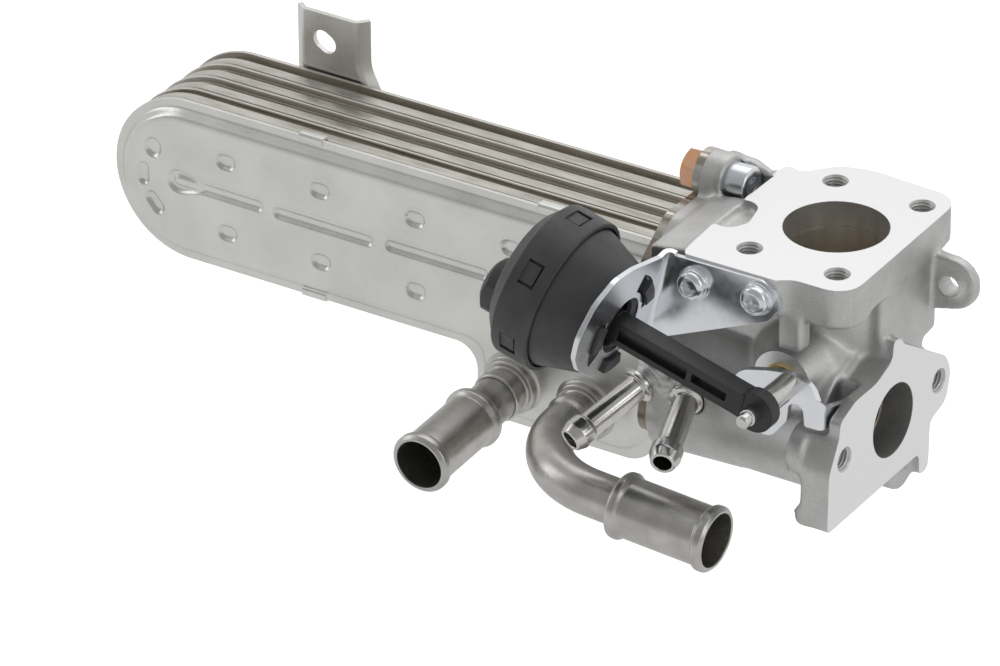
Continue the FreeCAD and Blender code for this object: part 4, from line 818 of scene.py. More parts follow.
def housing_holes(grow):
    """Every bore, seat and screw hole of the casting, with radii grown by an amount."""
    holes = [
        round_bar("port", PORT_RADIUS + grow, (0, 0, -PORT_DEPTH), (0, 0, ALLOWANCE + 1.0), 128),
        round_bar("neck", NECK_RADIUS + grow, (0, 0, -NECK_DEPTH), (0, 0, ALLOWANCE), 128),
        round_bar("side", SIDE_RADIUS + grow, (SIDE_FACE - SIDE_DEPTH, *SIDE_CENTRE),
                  (SIDE_FACE + ALLOWANCE + 1.0, *SIDE_CENTRE), 128),
        round_bar("side neck", SIDE_NECK_RADIUS + grow, (-4.0, *SIDE_CENTRE), (SIDE_FACE, *SIDE_CENTRE),
                  128),
        round_bar("ear", EAR_HOLE_RADIUS + grow, (EAR_HOLE[0], EAR_FRONT - 2.0, EAR_HOLE[1]),
                  (EAR_HOLE[0], EAR_FRONT + EAR_THICKNESS + 2.0, EAR_HOLE[1])),
        round_bar("bush", BUSH_RADIUS + grow, on_shaft(BUSH_FRONT - 3.0),
                  on_shaft(BUSH_FRONT + BUSH_LENGTH)),
        round_bar("shaft", SHAFT_RADIUS + 0.3 + grow, on_shaft(BUSH_FRONT), on_shaft(REAR_BUSH[1])),
        round_bar("rear bush", REAR_BUSH_RADIUS + grow, on_shaft(REAR_BUSH[0]), on_shaft(REAR_BUSH[1]))]
    for x, z in BRACKET_SCREWS:
        holes.append(round_bar("screw", BRACKET_SCREW_RADIUS + grow, (x, BRACKET_BACK - ALLOWANCE, z),
                               (x, BRACKET_BACK + BRACKET_SCREW_DEPTH + 2.0, z)))
    for ring, way in (LEFT_NIPPLE, RIGHT_NIPPLE):
        way = unit(way)
        holes.append(round_bar("stem", NIPPLE_RADIUS + grow, ring - way * NIPPLE_SEAT, ring))
        holes.append(round_bar("feed", NIPPLE_BORE + grow, ring - way * (NIPPLE_SEAT + FEED_LENGTH), ring))
    return holes


def leave_stock(casting):
    """Move the corners of the machined faces out by the allowance."""
    spots = np.empty(len(casting.data.vertices) * 3)
    casting.data.vertices.foreach_get("co", spots)
    spots = spots.reshape(-1, 3) / MM
    top = (np.abs(spots[:, 2]) < FACE_NEAR) & (spots[:, 0] > PORT_LEFT - 3.0)
    side = np.abs(spots[:, 0] - SIDE_FACE) < FACE_NEAR
    joint = np.abs(spots[:, 0] - HOUSING_LEFT) < FACE_NEAR
    pads = (np.abs(spots[:, 1] - BRACKET_BACK) < FACE_NEAR) & (spots[:, 0] < 14.0)
    spots[top, 2] += ALLOWANCE
    spots[side, 0] += ALLOWANCE
    spots[joint, 0] -= ALLOWANCE
    spots[pads, 1] -= ALLOWANCE
    casting.data.vertices.foreach_set("co", (spots * MM).ravel())


def housing_plugs():
    """Bars that fill every hole of the casting, a little thicker than the holes."""
    plugs = housing_holes(PLUG_GROWTH)
    tap_plug = TAP_RADIUS + TAP_PLUG_GROWTH
    for x, y in PORT_BOLTS:
        plugs.append(round_bar("tap", tap_plug, (x, y, -TAP_DEPTH - 0.5), (x, y, ALLOWANCE)))
    for y, z in SIDE_BOLTS:
        plugs.append(round_bar("tap", tap_plug, (SIDE_FACE - SIDE_TAP_DEPTH - 0.5, y, z),
                               (SIDE_FACE + ALLOWANCE, y, z)))
    for y, z in JOINT_EARS:
        plugs.append(round_bar("clear", CLEAR_RADIUS + PLUG_GROWTH, (HOUSING_LEFT - ALLOWANCE, y, z),
                               (LUG, y, z)))
    plugs.append(round_bar("boss", BOSS_PLUG_RADIUS, on_shaft(BOSS_FACE - ALLOWANCE),
                           on_shaft(BOSS_FACE + 6.0), 96))
    return plugs


def relax_skin(casting):
    """Even the casting out on a fine lattice and relax it, which rounds its edges and hollows."""
    lattice = casting.modifiers.new("lattice", "REMESH")
    lattice.mode = "VOXEL"
    lattice.voxel_size = LATTICE * MM
    relax = casting.modifiers.new("relax", "SMOOTH")
    relax.factor = RELAX_SHARE
    relax.iterations = RELAX_STEPS
    fewer = casting.modifiers.new("fewer", "DECIMATE")
    fewer.ratio = KEPT_SHARE
    baked_modifiers(casting)


def housing_cuts():
    """Milled faces, bores, seats and threads of the casting at their true sizes."""
    low = cad_low / MM
    cuts = [
        block((PORT_LEFT - 1.2, -60.0, 0.0), (SIDE_FACE + 20.0, 60.0, 20.0)),
        block((PORT_LEFT - 3.5, -60.0, 0.0), (SIDE_FACE, 11.0, 20.0)),
        block((SIDE_FACE, -60.0, -110.0), (SIDE_FACE + 9.0, 34.0, -34.5)),
        block((SIDE_FACE, -60.0, -110.0), (SIDE_FACE + 9.0, 14.0, -24.0)),
        block((low[0], -60.0, -120.0), (HOUSING_LEFT, 60.0, 30.0)),
        block((-50.0, -70.0, -24.0), (14.0, BRACKET_BACK, 20.0)),
        round_bar("face", BOSS_CUT_RADIUS, on_shaft(-60.0), on_shaft(BOSS_FACE), 64)]
    for y, z in JOINT_EARS:
        cuts.append(round_bar("seat", HEAD_RADIUS + SEAT_ROOM, (LUG, y, z), (PORT_LEFT - 0.1, y, z), 64))
        cuts.append(round_bar("clear", CLEAR_RADIUS, (HOUSING_LEFT - 1.0, y, z), (LUG + 1.0, y, z), 48))
    cuts += housing_holes(0.0)
    for ring, way in (LEFT_NIPPLE, RIGHT_NIPPLE):
        way = unit(way)
        cuts.append(round_bar("ring", NIPPLE_RING + 0.3, ring - way * NIPPLE_RING_BACK, ring + way * 6.0))
    for x, y in PORT_BOLTS:
        cuts.append(thread_cutter("thread", (x, y, 0.0), UP, TAP_DEPTH))
    for y, z in SIDE_BOLTS:
        cuts.append(thread_cutter("thread", (SIDE_FACE, y, z), RIGHT, SIDE_TAP_DEPTH))
    return cuts


def flap_housing():
    """The casting: a copy of the solid with stock on its machined faces and its holes filled, relaxed into
    the round edges and hollows of a casting, then milled flat and bored."""
    casting = node_copy("flap_housing", "flap_casting")
    leave_stock(casting)
    casting = one_mesh("flap_casting", [casting] + housing_plugs())
    relax_skin(casting)
    combined(casting, housing_cuts(), "DIFFERENCE")
    placed(casting, ROOT, ["flap_housing"], "cast aluminium", 40.0)


def star_outline(radius, steps=72):
    """Six-lobed drive: radius times one plus a sixth of a cosine six times round, flattened at its
    crests."""
    angle = np.linspace(0.0, 2 * math.pi, steps, endpoint=False)
    wave = np.cos(6 * angle)
    size = radius * (1 + LOBE_WAVE * np.sign(wave) * np.abs(wave) ** LOBE_FLATNESS)
    return np.stack([size * np.cos(angle), size * np.sin(angle)], axis=1)


def sunk_mouth(foot, mouth, depth, start, way):
    """Cutter for the chamfered mouth of a drive: a cone from its foot radius to its mouth radius."""
    return turned("mouth", np.array([(0.0, 0.0), (foot, 0.0), (mouth, depth), (0.0, depth)]), start, way, 48)


def bracket_screws():
    """Round heads with a shallow crown, a six-lobed drive and a captive washer."""
    front = BRACKET_BACK - BRACKET_SHEET
    washer = front - WASHER_THICKNESS
    head = SCREW_HEAD_HEIGHT
    outline = rounded([
        (0.0, -WASHER_THICKNESS, 0), (WASHER_RADIUS, -WASHER_THICKNESS, 0.2), (WASHER_RADIUS, 0.0, 0.35),
        (SCREW_HEAD_RADIUS + 0.2, 0.0, 0.2), (SCREW_HEAD_RADIUS, 0.5, 0.2),
        (SCREW_HEAD_RADIUS, head - 0.7, 1.6), (SCREW_CROWN_RADIUS, head, 1.5), (0.0, head, 0)], 6)
    stem = (BRACKET_BACK - washer) + BRACKET_SCREW_DEPTH
    screws = []
    for x, z in BRACKET_SCREWS:
        body = turned("screw", outline, (x, washer, z), FRONT, 72)
        shank = round_bar("shank", BRACKET_SCREW_RADIUS, (x, washer + 0.5, z), (x, washer + stem, z), 32)
        combined(body, [shank], "UNION")
        drive = bar("drive", star_outline(DRIVE_RADIUS), (x, washer - head + DRIVE_DEPTH, z), FRONT, RIGHT,
                    2 * DRIVE_DEPTH)
        mouth = sunk_mouth(MOUTH_RADIUS, SCREW_CROWN_RADIUS, 0.9, (x, washer - head + 0.45, z), FRONT)
        combined(body, [drive, mouth], "DIFFERENCE")
        screws.append(body)
    placed(one_mesh("bracket_torx_screws", screws), ROOT, ["bracket_screws"], "zinc plated sheet", 35.0)


def hexagon(flats):
    """Six corners of a hexagon of a width across flats."""
    angle = np.arange(6) * math.pi / 3
    radius = flats / math.sqrt(3)
    return np.stack([radius * np.cos(angle), radius * np.sin(angle)], axis=1)


def joint_screws():
    """Socket head screws with rounded edges, a hexagon socket, and a plain shank with a chamfered end."""
    screws = []
    for y, z in JOINT_EARS:
        reach = LOWER_SCREW_END if (y, z) == LOWER_EAR else NUT_HEIGHT
        head = rounded([(0, 0, 0), (HEAD_RADIUS, 0, 0.3), (HEAD_RADIUS, HEAD_HEIGHT, 0.9),
                        (0, HEAD_HEIGHT, 0)], 6)
        body = turned("head", head, (LUG, y, z), RIGHT, 96)
        shank = rounded([(0, 0, 0), (SHANK_RADIUS - 0.8, 0, 0), (SHANK_RADIUS, 0.8, 0.2),
                         (SHANK_RADIUS, LUG - JOINT + reach, 0), (0, LUG - JOINT + reach, 0)], 4)
        stem = turned("shank", shank, (JOINT - reach, y, z), RIGHT, 48)
        combined(body, [stem], "UNION")
        key = bar("key", hexagon(KEY_FLATS), (LUG + HEAD_HEIGHT - KEY_DEPTH, y, z), RIGHT, UP,
                  KEY_DEPTH + 2.0)
        mouth = sunk_mouth(MOUTH_RADIUS, 4.0, 1.4, (LUG + HEAD_HEIGHT - 0.75, y, z), RIGHT)
        combined(body, [key, mouth], "DIFFERENCE")
        screws.append(body)
    placed(one_mesh("joint_socket_screws", screws), ROOT, ["flange_screws"], "zinc plated sheet", 35.0)


def joint_nuts():
    """Hexagon nuts whose corners are taken off by a cone at both ends."""
    nuts = []
    for y, z in NUT_EARS:
        blank = bar("blank", hexagon(ACROSS_FLATS), (JOINT - NUT_HEIGHT, y, z), RIGHT, UP, NUT_HEIGHT)
        flat = ACROSS_FLATS / 2
        corner = flat + 1.3
        cone = rounded([(0, 0, 0), (flat - 0.2, 0, 0.2), (corner, 0.9, 0.3), (corner, NUT_HEIGHT - 0.7, 0.3),
                        (flat + 0.1, NUT_HEIGHT, 0), (0, NUT_HEIGHT, 0)], 4)
        combined(blank, [turned("cone", cone, (JOINT - NUT_HEIGHT, y, z), RIGHT, 96)], "INTERSECT")
        hole = round_bar("hole", SHANK_RADIUS, (JOINT - NUT_HEIGHT - 1.0, y, z), (JOINT + 1.0, y, z), 48)
        combined(blank, [hole], "DIFFERENCE")
        nuts.append(blank)
    placed(one_mesh("joint_nuts", nuts), ROOT, ["flange_nuts"], "yellow zinc", 30.0)


def lever():
    """Pressed lever: a flat plate of a rounded outline with an open slot, and a strip bent back along its
    right edge, whose level section is an L with a round bend, trimmed to a tapering outline."""
    back = LEVER_FRONT + LEVER_THICKNESS
    plate = rounded([
        (-11.0, -35.0, 8), (2.0, -31.6, 6), (10.6, -30.1, 7), (19.6, -32.2, 8), (22.4, -38.5, 6),
        (24.5, -48.6, 1.0), (17.2, -48.8, 1.0), (16.5, -41.3, 2.75), (10.9, -41.3, 2.75),
        (10.4, -48.6, 4.0), (3.5, -57.4, 5), (-4.0, -55.0, 5), (-11.0, -49.5, 8)], 10)
    body = bar("lever_plate", plate, (0, back, 0), FRONT, RIGHT, LEVER_THICKNESS)
    trim = block((22.3, -60.0, -50.5), (30.0, -40.0, -36.0))
    combined(body, [trim], "DIFFERENCE")
    outer = LEVER_EDGE
    inner = outer - LEVER_THICKNESS
    section = rounded([
        (19.5, LEVER_FRONT, 0), (outer, LEVER_FRONT, 3.0), (outer, LEVER_TAB_END, 0),
        (inner, LEVER_TAB_END, 0), (inner, back, 0.8), (19.5, back, 0)], 8)
    strip = bar("lever_strip", section, (0, 0, -52.0), UP, RIGHT, 18.0)
    ahead = LEVER_FRONT - 1.0
    shape = rounded([
        (ahead, -36.0, 0), (LEVER_FRONT + 3.0, -41.2, 3), (-42.0, -42.1, 3), (-31.6, -45.2, 3),
        (LEVER_TAB_END, -48.2, 1.2), (LEVER_TAB_END + 0.2, -49.9, 0.8), (-31.0, -49.9, 2),
        (ahead, -48.6, 0)], 6)
    mask = bar("mask", shape, (10.0, 0, 0), RIGHT, BACK, 25.0)
    combined(strip, [mask], "INTERSECT")
    behind = LEVER_FRONT + 4.0
    holes = [round_bar("hole", SHAFT_RADIUS - 0.5, on_shaft(ahead), on_shaft(behind), 48),
             round_bar("hole", PIN_RADIUS, (PIN[0], ahead, PIN[2]), (PIN[0], behind, PIN[2]), 48)]
    combined(body, [strip], "UNION")
    combined(body, holes, "DIFFERENCE")
    placed(body, LEVER_BODY, ["lever"], "zinc plated sheet", 35.0)


def rear_tab():
    """Folded tab: a level section with a wing bent back at each end, whose middle line is set off by half
    the sheet to both sides, stacked up from the foot; its right end widens towards the foot as an S."""
    levels = np.concatenate([np.linspace(TAB_FOOT, -10.0, 22), np.linspace(-8.0, TAB_TOP, 5)])
    half = TAB_SHEET / 2
    middle = TAB_FRONT + half
    rows = []
    for z in levels:
        right = TAB_RIGHT + TAB_FLARE * (1 - smooth_step(z, *TAB_FLARE_SPAN))
        bent = smooth_step(z, *TAB_BEND_SPAN)
        line = open_path([
            (TAB_LEFT - TAB_WING, middle + TAB_LEFT_BACK * bent, 0), (TAB_LEFT, middle, TAB_BEND),
            (right, middle, TAB_BEND), (right + TAB_WING, middle + TAB_RIGHT_BACK * bent, 0)])
        step = np.gradient(line, axis=0)
        normal = np.stack([step[:, 1], -step[:, 0]], axis=1) / np.linalg.norm(step, axis=1)[:, None]
        ring = np.concatenate([line + normal * half, (line - normal * half)[::-1]])
        rows.append(np.insert(ring, 2, z, axis=1))
    body = skin("rear_tab", np.stack(rows), close_rows=False)
    span = TAB_HOLE_SPREAD + TAB_HOLE_RADIUS
    radius = TAB_HOLE_RADIUS
    slot = rounded([(-span, -radius, radius), (span, -radius, radius), (span, radius, radius),
                    (-span, radius, radius)], 10)
    along = (math.cos(TAB_HOLE_TURN), 0.0, -math.sin(TAB_HOLE_TURN))
    hole = bar("slot", slot, (TAB_HOLE[0], TAB_FRONT + 8.0, TAB_HOLE[1]), FRONT, along, 16.0)
    combined(body, [hole], "DIFFERENCE")
    placed(body, ROOT, ["rear_tab_bracket"], "stainless sheet", 40.0)


def open_path(corners, steps=7):
    """Open line through corners (a, b, radius) with tangent arcs."""
    spots = [np.array(corner[:2], float) for corner in corners]
    line = [spots[0][None]]
    for i in range(1, len(spots) - 1):
        before = unit(spots[i - 1] - spots[i])
        after = unit(spots[i + 1] - spots[i])
        half = math.acos(np.clip(before @ after, -1.0, 1.0)) / 2
        if half > math.pi / 2 - 0.02:
            line.append(spots[i] + np.linspace(-0.3, 0.3, steps + 1)[:, None] * after)
            continue
        radius = corners[i][2]
        trim = min(radius / math.tan(half), 0.8 * np.linalg.norm(spots[i - 1] - spots[i]),
                   0.8 * np.linalg.norm(spots[i + 1] - spots[i]))
        radius = trim * math.tan(half)
        centre = spots[i] + unit(before + after) * radius / math.sin(half)
        line.append(arc_between(centre, spots[i] + before * trim, spots[i] + after * trim, half, steps))
    line.append(spots[-1][None])
    return np.concatenate(line)


def lever_pin():
    """Pin: spacer, plain length in the rod's eye, and a stepped round point, turned about its own axis."""
    back = LEVER_FRONT + LEVER_THICKNESS
    foot = LEVER_THICKNESS
    outline = rounded([
        (0, 0, 0), (PIN_RADIUS, 0, 0), (PIN_RADIUS, foot, 0.1), (PIN_SPACER_RADIUS, foot, 0.3),
        (PIN_SPACER_RADIUS, back - PIN_SPACER_FRONT, 0.4), (PIN_RADIUS, back - PIN_SPACER_FRONT, 0.1),
        (PIN_RADIUS, back - PIN_TIP, 0.5), (PIN_POINT_RADIUS, back - PIN_TIP + 0.3, 0.2),
        (PIN_POINT_RADIUS, back - PIN_POINT, 1.7), (0, back - PIN_POINT, 0)], 7)
    piece = turned("stepped_pin", outline, (PIN[0], back, PIN[2]), FRONT, 72)
    placed(piece, LEVER_BODY, ["lever_pin"], "bright steel", 45.0)


def front_bush():
    """Brass bush: one turned outline with a thin collar on the boss and a small chamfer inside and
    outside."""
    bore = SHAFT_RADIUS + BUSH_CLEARANCE
    seat = BUSH_FRONT - BOSS_FACE
    outline = rounded([(bore, -BUSH_LENGTH, 0), (BUSH_RADIUS, -BUSH_LENGTH, 0), (BUSH_RADIUS, seat, 0),
                       (BUSH_RADIUS + 1.0, seat, 0), (BUSH_RADIUS + 1.0, -0.4, 0.2),
                       (BUSH_RADIUS + 0.6, 0, 0.2), (bore + 0.5, 0, 0.2), (bore, -0.6, 0.2)], 4)
    piece = turned("shaft_bush", outline, (0, BUSH_FRONT, SHAFT_Z), FRONT, 96)
    placed(piece, ROOT, ["shaft_bush_front"], "brass", 40.0)


def rod_spot(up, back, along):
    """Point in millimetres from its distances up, back and along the rod from the pin."""
    return PIN + ROD_UP * up + np.array(BACK) * back + ROD_WAY * along


def rod_turned(name, outline, steps=128):
    """Piece turned about the actuator's axis, heights measured along the rod from the pin."""
    return turned(name, outline, PIN, ROD_WAY, steps)


def rod_box(name, angle_deg, inner, outer, width, at, length):
    """Box on the actuator's collar at an angle from the rod's upward direction towards the back."""
    angle = math.radians(angle_deg)
    out = ROD_UP * math.cos(angle) + np.array(BACK) * math.sin(angle)
    side = np.cross(ROD_WAY, out)
    corners = np.array([(inner, -width / 2), (outer, -width / 2), (outer, width / 2), (inner, width / 2)])
    flat = PIN + ROD_WAY * at + corners[:, 0, None] * out + corners[:, 1, None] * side
    return skin(name, np.stack([flat, flat + ROD_WAY * length]), close_rows=False)


def actuator_can():
    """Front bowl: one closed turned wall with its rim, and the bayonet lugs behind the bracket's slots."""
    wall = CAN_WALL
    outline = rounded([
        (CAN_OPENING, CAN_FRONT, 0.3), (CAN_FRONT_RADIUS, CAN_FRONT, 3), (CAN_RIM_RADIUS, CAN_RIM, 2),
        (CAN_RIM_RADIUS, CAN_RIM + 2.0, 0), (CAN_RIM_RADIUS - wall, CAN_RIM + 2.0, 0),
        (CAN_RIM_RADIUS - wall, CAN_RIM, 2), (CAN_FRONT_RADIUS - wall, CAN_FRONT + wall, 2),
        (CAN_OPENING, CAN_FRONT + wall, 0)], 8)
    body = rod_turned("actuator_bowl", outline)
    foot = PIN + ROD_WAY * (CAN_FRONT - LUG_HEIGHT)
    for start, end in BAYONET_LUGS:
        angle = np.radians(np.linspace(start, end, 13))
        out = np.cos(angle)[:, None] * ROD_UP + np.sin(angle)[:, None] * np.array(BACK)
        flat = np.concatenate([foot + LUG_RADII[0] * out, foot + LUG_RADII[1] * out[::-1]])
        lug = skin("lug", np.stack([flat, flat + ROD_WAY * (LUG_HEIGHT + wall / 2)]), close_rows=False)
        combined(body, [lug], "UNION")
    placed(body, ROOT, ["actuator_can"], "black plastic", 40.0)


def actuator_hub():
    """Off-centre hub with six facets, cut off where the dome is hollow."""
    height = HUB_BACK - CAP_BACK - 2.0
    outline = rounded([(0, 0, 0), (HUB_RADIUS + 0.9, 0, 0), (HUB_RADIUS + 0.9, height - 2.2, 0.5),
                       (HUB_RADIUS - 2.0, height, 1.2), (0, height, 0)], 8)
    foot = rod_spot(-HUB_OFFSET, 0.0, CAP_BACK + 2.0)
    hollow = DOME_RADIUS - CAP_WALL
    inside = turned("inside", rounded([(0, 0, 0), (hollow, 0, 0), (hollow, 4.0, 0), (0, 4.0, 0)], 1),
                    rod_spot(0.0, 0.0, CAP_BACK + 1.0 - 4.0), ROD_WAY, 64)
    hub = turned("hub", outline, foot, ROD_WAY, 96)
    facets = bar("facets", hexagon(2 * HUB_RADIUS), foot - ROD_WAY, ROD_WAY, ROD_UP, 30.0)
    combined(hub, [facets], "INTERSECT")
    return combined(hub, [inside], "DIFFERENCE")


def snap_windows():
    """Cutters for the windows of the collar, and the tongues that show in them."""
    floor_radius = CAP_RADIUS - WINDOW_DEPTH
    windows, tongues = [], []
    for k in range(WINDOW_COUNT):
        angle = WINDOW_TURN_DEG + 360.0 * k / WINDOW_COUNT
        windows.append(rod_box("window", angle, floor_radius, CAP_RADIUS + 3.0, WINDOW_WIDTH, WINDOW_AT,
                               WINDOW_LENGTH))
        tongues.append(rod_box("tongue", angle, floor_radius - 0.3, CAP_RADIUS - TONGUE_DEPTH,
                               WINDOW_WIDTH - 2 * TONGUE_GAP, WINDOW_AT + TONGUE_GAP, WINDOW_LENGTH - 0.6))
    return windows, tongues


def actuator_cap():
    """Rear half: collar, step, dome and hub as turned outlines; six snap windows are cut into the collar and
    the tongues of the bowl show in them; the vacuum nipple stands on the hub."""
    wall = CAP_WALL
    outside = rounded([
        (CAN_RIM_RADIUS, CAN_RIM, 0.3), (CAP_RADIUS, CAN_RIM, 0.7), (CAP_RADIUS, CAP_BACK, 1.4),
        (DOME_RADIUS, CAP_BACK + 0.9, 0.5), (DOME_BACK_RADIUS, DOME_BACK, 4), (0, DOME_BACK, 0),
        (0, DOME_BACK - wall, 0), (DOME_BACK_RADIUS - wall, DOME_BACK - wall, 3),
        (DOME_RADIUS - wall, CAP_BACK, 2), (DOME_RADIUS - wall, CAN_RIM + 3.6, 0),
        (CAN_RIM_RADIUS, CAN_RIM + 2.9, 0)], 8)
    body = rod_turned("actuator_cover", outside)
    neck = rod_spot(-HUB_OFFSET, 0.0, (DOME_BACK + HUB_BACK) / 2)
    barb = VACUUM_RADIUS + VACUUM_BARB
    nipple = rounded([(0, 0, 0), (VACUUM_RADIUS, 0, 0), (VACUUM_RADIUS, VACUUM_REACH - 4.0, 0.3),
                      (barb, VACUUM_REACH - 3.4, 0.3), (barb, VACUUM_REACH - 2.6, 0.3),
                      (VACUUM_RADIUS - 0.4, VACUUM_REACH, 0.3), (0, VACUUM_REACH, 0)], 4)
    combined(body, [actuator_hub(), turned("vacuum", nipple, neck, BACK, 48)], "UNION")
    bore = round_bar("bore", VACUUM_BORE, neck, neck + np.array(BACK) * (VACUUM_REACH + 1.0), 32)
    seam_in = CAN_RIM_RADIUS - SEAM_DEPTH
    seam_out = CAN_RIM_RADIUS + 2 * SEAM_DEPTH
    seam = np.array([(seam_in, CAN_RIM - 1.0), (seam_out, CAN_RIM - 1.0),
                     (seam_out, CAN_RIM + 1.8), (seam_in, CAN_RIM + 1.8)])
    windows, tongues = snap_windows()
    combined(body, [bore, rod_turned("seam", seam)] + windows, "DIFFERENCE")
    combined(body, tongues, "UNION")
    placed(body, ROOT, ["actuator_cap"], "black plastic", 40.0)


class Recipe:
    """A node material in the making: Object coordinates, one shader, and short calls for the usual nodes."""

    def __init__(self, name, colour, metallic, roughness):
        """Plain shader of one colour, metallic share and roughness."""
        self.material = bpy.data.materials.new(name)
        self.material.use_nodes = True
        self.tree = self.material.node_tree
        self.shader = self.tree.nodes["Principled BSDF"]
        self.shader.inputs["Base Color"].default_value = (*colour, 1.0)
        self.shader.inputs["Metallic"].default_value = metallic
        self.shader.inputs["Roughness"].default_value = roughness
        self.place = self.tree.nodes.new("ShaderNodeTexCoord").outputs["Object"]
        self.normal = None

    def node(self, kind, **settings):
        """New node with its settings."""
        made = self.tree.nodes.new(kind)
        for key, value in settings.items():
            setattr(made, key, value)
        return made

    def feed(self, socket, value):
        """Set an input to a value or link it to an output."""
        if isinstance(value, bpy.types.NodeSocket):
            self.tree.links.new(value, socket)
        else:
            socket.default_value = value

    def noise(self, size, detail=2.0, rough=0.5, stretch=(1, 1, 1)):
        """Noise whose features are about size across, in metres."""
        where = self.node("ShaderNodeMapping")
        where.inputs["Scale"].default_value = stretch
        self.feed(where.inputs["Vector"], self.place)
        made = self.node("ShaderNodeTexNoise")
        self.feed(made.inputs["Vector"], where.outputs["Vector"])
        self.feed(made.inputs["Scale"], 1.0 / size)
        self.feed(made.inputs["Detail"], detail)
        self.feed(made.inputs["Roughness"], rough)
        return made.outputs["Fac"]

    def math(self, operation, a, b=0.0, clamp=False):
        """One arithmetic step."""
        made = self.node("ShaderNodeMath", operation=operation, use_clamp=clamp)
        self.feed(made.inputs[0], a)
        self.feed(made.inputs[1], b)
        return made.outputs[0]

    def spread(self, value, low, high, to_low=0.0, to_high=1.0):
        """Map a value's range to another one, held at its ends."""
        made = self.node("ShaderNodeMapRange")
        for key, number in zip(("Value", "From Min", "From Max", "To Min", "To Max"),
                               (value, low, high, to_low, to_high)):
            self.feed(made.inputs[key], number)
        return made.outputs["Result"]

    def mix(self, share, a, b):
        """Blend two colours."""
        made = self.node("ShaderNodeMix", data_type="RGBA")
        self.feed(made.inputs["Factor"], share)
        self.feed(made.inputs["A"], a if isinstance(a, bpy.types.NodeSocket) else (*a, 1.0))
        self.feed(made.inputs["B"], b if isinstance(b, bpy.types.NodeSocket) else (*b, 1.0))
        return made.outputs["Result"]

    def rounded(self, radius, samples=6):
        """Soften the look of every edge by a radius."""
        made = self.node("ShaderNodeBevel", samples=samples)
        made.inputs["Radius"].default_value = radius
        self.normal = made.outputs["Normal"]

    def bump(self, height, distance, strength=1.0):
        """Add relief of a height field to the normal."""
        made = self.node("ShaderNodeBump")
        self.feed(made.inputs["Height"], height)
        self.feed(made.inputs["Distance"], distance)
        self.feed(made.inputs["Strength"], strength)
        if self.normal is not None:
            self.feed(made.inputs["Normal"], self.normal)
        self.normal = made.outputs["Normal"]

    def done(self):
        """Link what was gathered and give the material."""
        if self.normal is not None:
            self.feed(self.shader.inputs["Normal"], self.normal)
        return self.material

    def axes(self):
        """X, Y and Z of the place."""
        split = self.node("ShaderNodeSeparateXYZ")
        self.feed(split.inputs[0], self.place)
        return split.outputs["X"], split.outputs["Y"], split.outputs["Z"]

    def at_level(self, value, level, reach=FACE_NEAR):
        """One where a value lies within reach of a level, both in millimetres."""
        away = self.math("ABSOLUTE", self.math("SUBTRACT", value, level * MM))
        return self.math("LESS_THAN", away, reach * MM)

    def colour(self, value):
        """Set or link the colour."""
        self.feed(self.shader.inputs["Base Color"], value)

    def roughness(self, value):
        """Set or link the roughness."""
        self.feed(self.shader.inputs["Roughness"], value)


def cast_aluminium():
    """Fine sand-cast skin; milled bright where a face was cut flat; painted shade browns the bores deeper
    down and darkens the step between port and neck.
    """
    r = Recipe("cast aluminium", (0.6, 0.6, 0.6), 1.0, 0.5)
    grain = r.noise(0.0005, 3.0, 0.6)
    cloud = r.noise(0.011, 3.0)
    skin_colour = r.mix(r.spread(cloud, 0.3, 0.7), (0.60, 0.60, 0.59), (0.70, 0.70, 0.69))
    speck = r.mix(r.spread(grain, 0.35, 0.65), (0.84, 0.84, 0.84), (1.0, 1.0, 1.0))
    tone = r.node("ShaderNodeMix", data_type="RGBA", blend_type="MULTIPLY")
    r.feed(tone.inputs["Factor"], 1.0)
    r.feed(tone.inputs["A"], skin_colour)
    r.feed(tone.inputs["B"], speck)
    x, y, z = r.axes()
    milled = r.at_level(z, 0.0)
    for value, level in ((x, SIDE_FACE), (y, BRACKET_BACK), (y, BOSS_FACE)):
        milled = r.math("MAXIMUM", milled, r.at_level(value, level))
    from_axis = r.math("SQRT", r.math("ADD", r.math("MULTIPLY", x, x), r.math("MULTIPLY", y, y)))
    in_bore = r.math("LESS_THAN", from_axis, (PORT_RADIUS + 0.05) * MM)
    deep = r.math("MULTIPLY", in_bore, r.spread(z, -0.5 * MM, -10.0 * MM, 0.0, 1.0))
    surface = r.mix(milled, tone.outputs["Result"], (0.93, 0.93, 0.93))
    streaks = r.noise(0.007, 3.0, 0.6, (1.0, 1.0, 0.12))
    wall = r.mix(r.spread(streaks, 0.35, 0.65), (0.78, 0.74, 0.68), (0.98, 0.96, 0.92))
    # Painted shade: deeper in the bore, below 8 mm, the wall colour turns browner and darker.
    bore_shade = r.mix(r.spread(z, -8.0 * MM, -24.0 * MM), wall, (0.62, 0.55, 0.46))
    # Painted shade: the up-facing step between port and neck, which catches the light, is coloured near
    # black.
    step = r.at_level(z, -PORT_DEPTH, 4 * FACE_NEAR)
    r.colour(r.mix(r.math("MULTIPLY", step, in_bore), r.mix(deep, surface, bore_shade), (0.16, 0.14, 0.12)))
    r.roughness(r.spread(milled, 0.0, 1.0, 0.46, 0.36))
    r.rounded(0.35 * MM)
    relief = r.math("MULTIPLY", grain, r.math("SUBTRACT", 1.0, milled))
    r.bump(relief, 0.10 * MM, 0.5)
    return r.done()


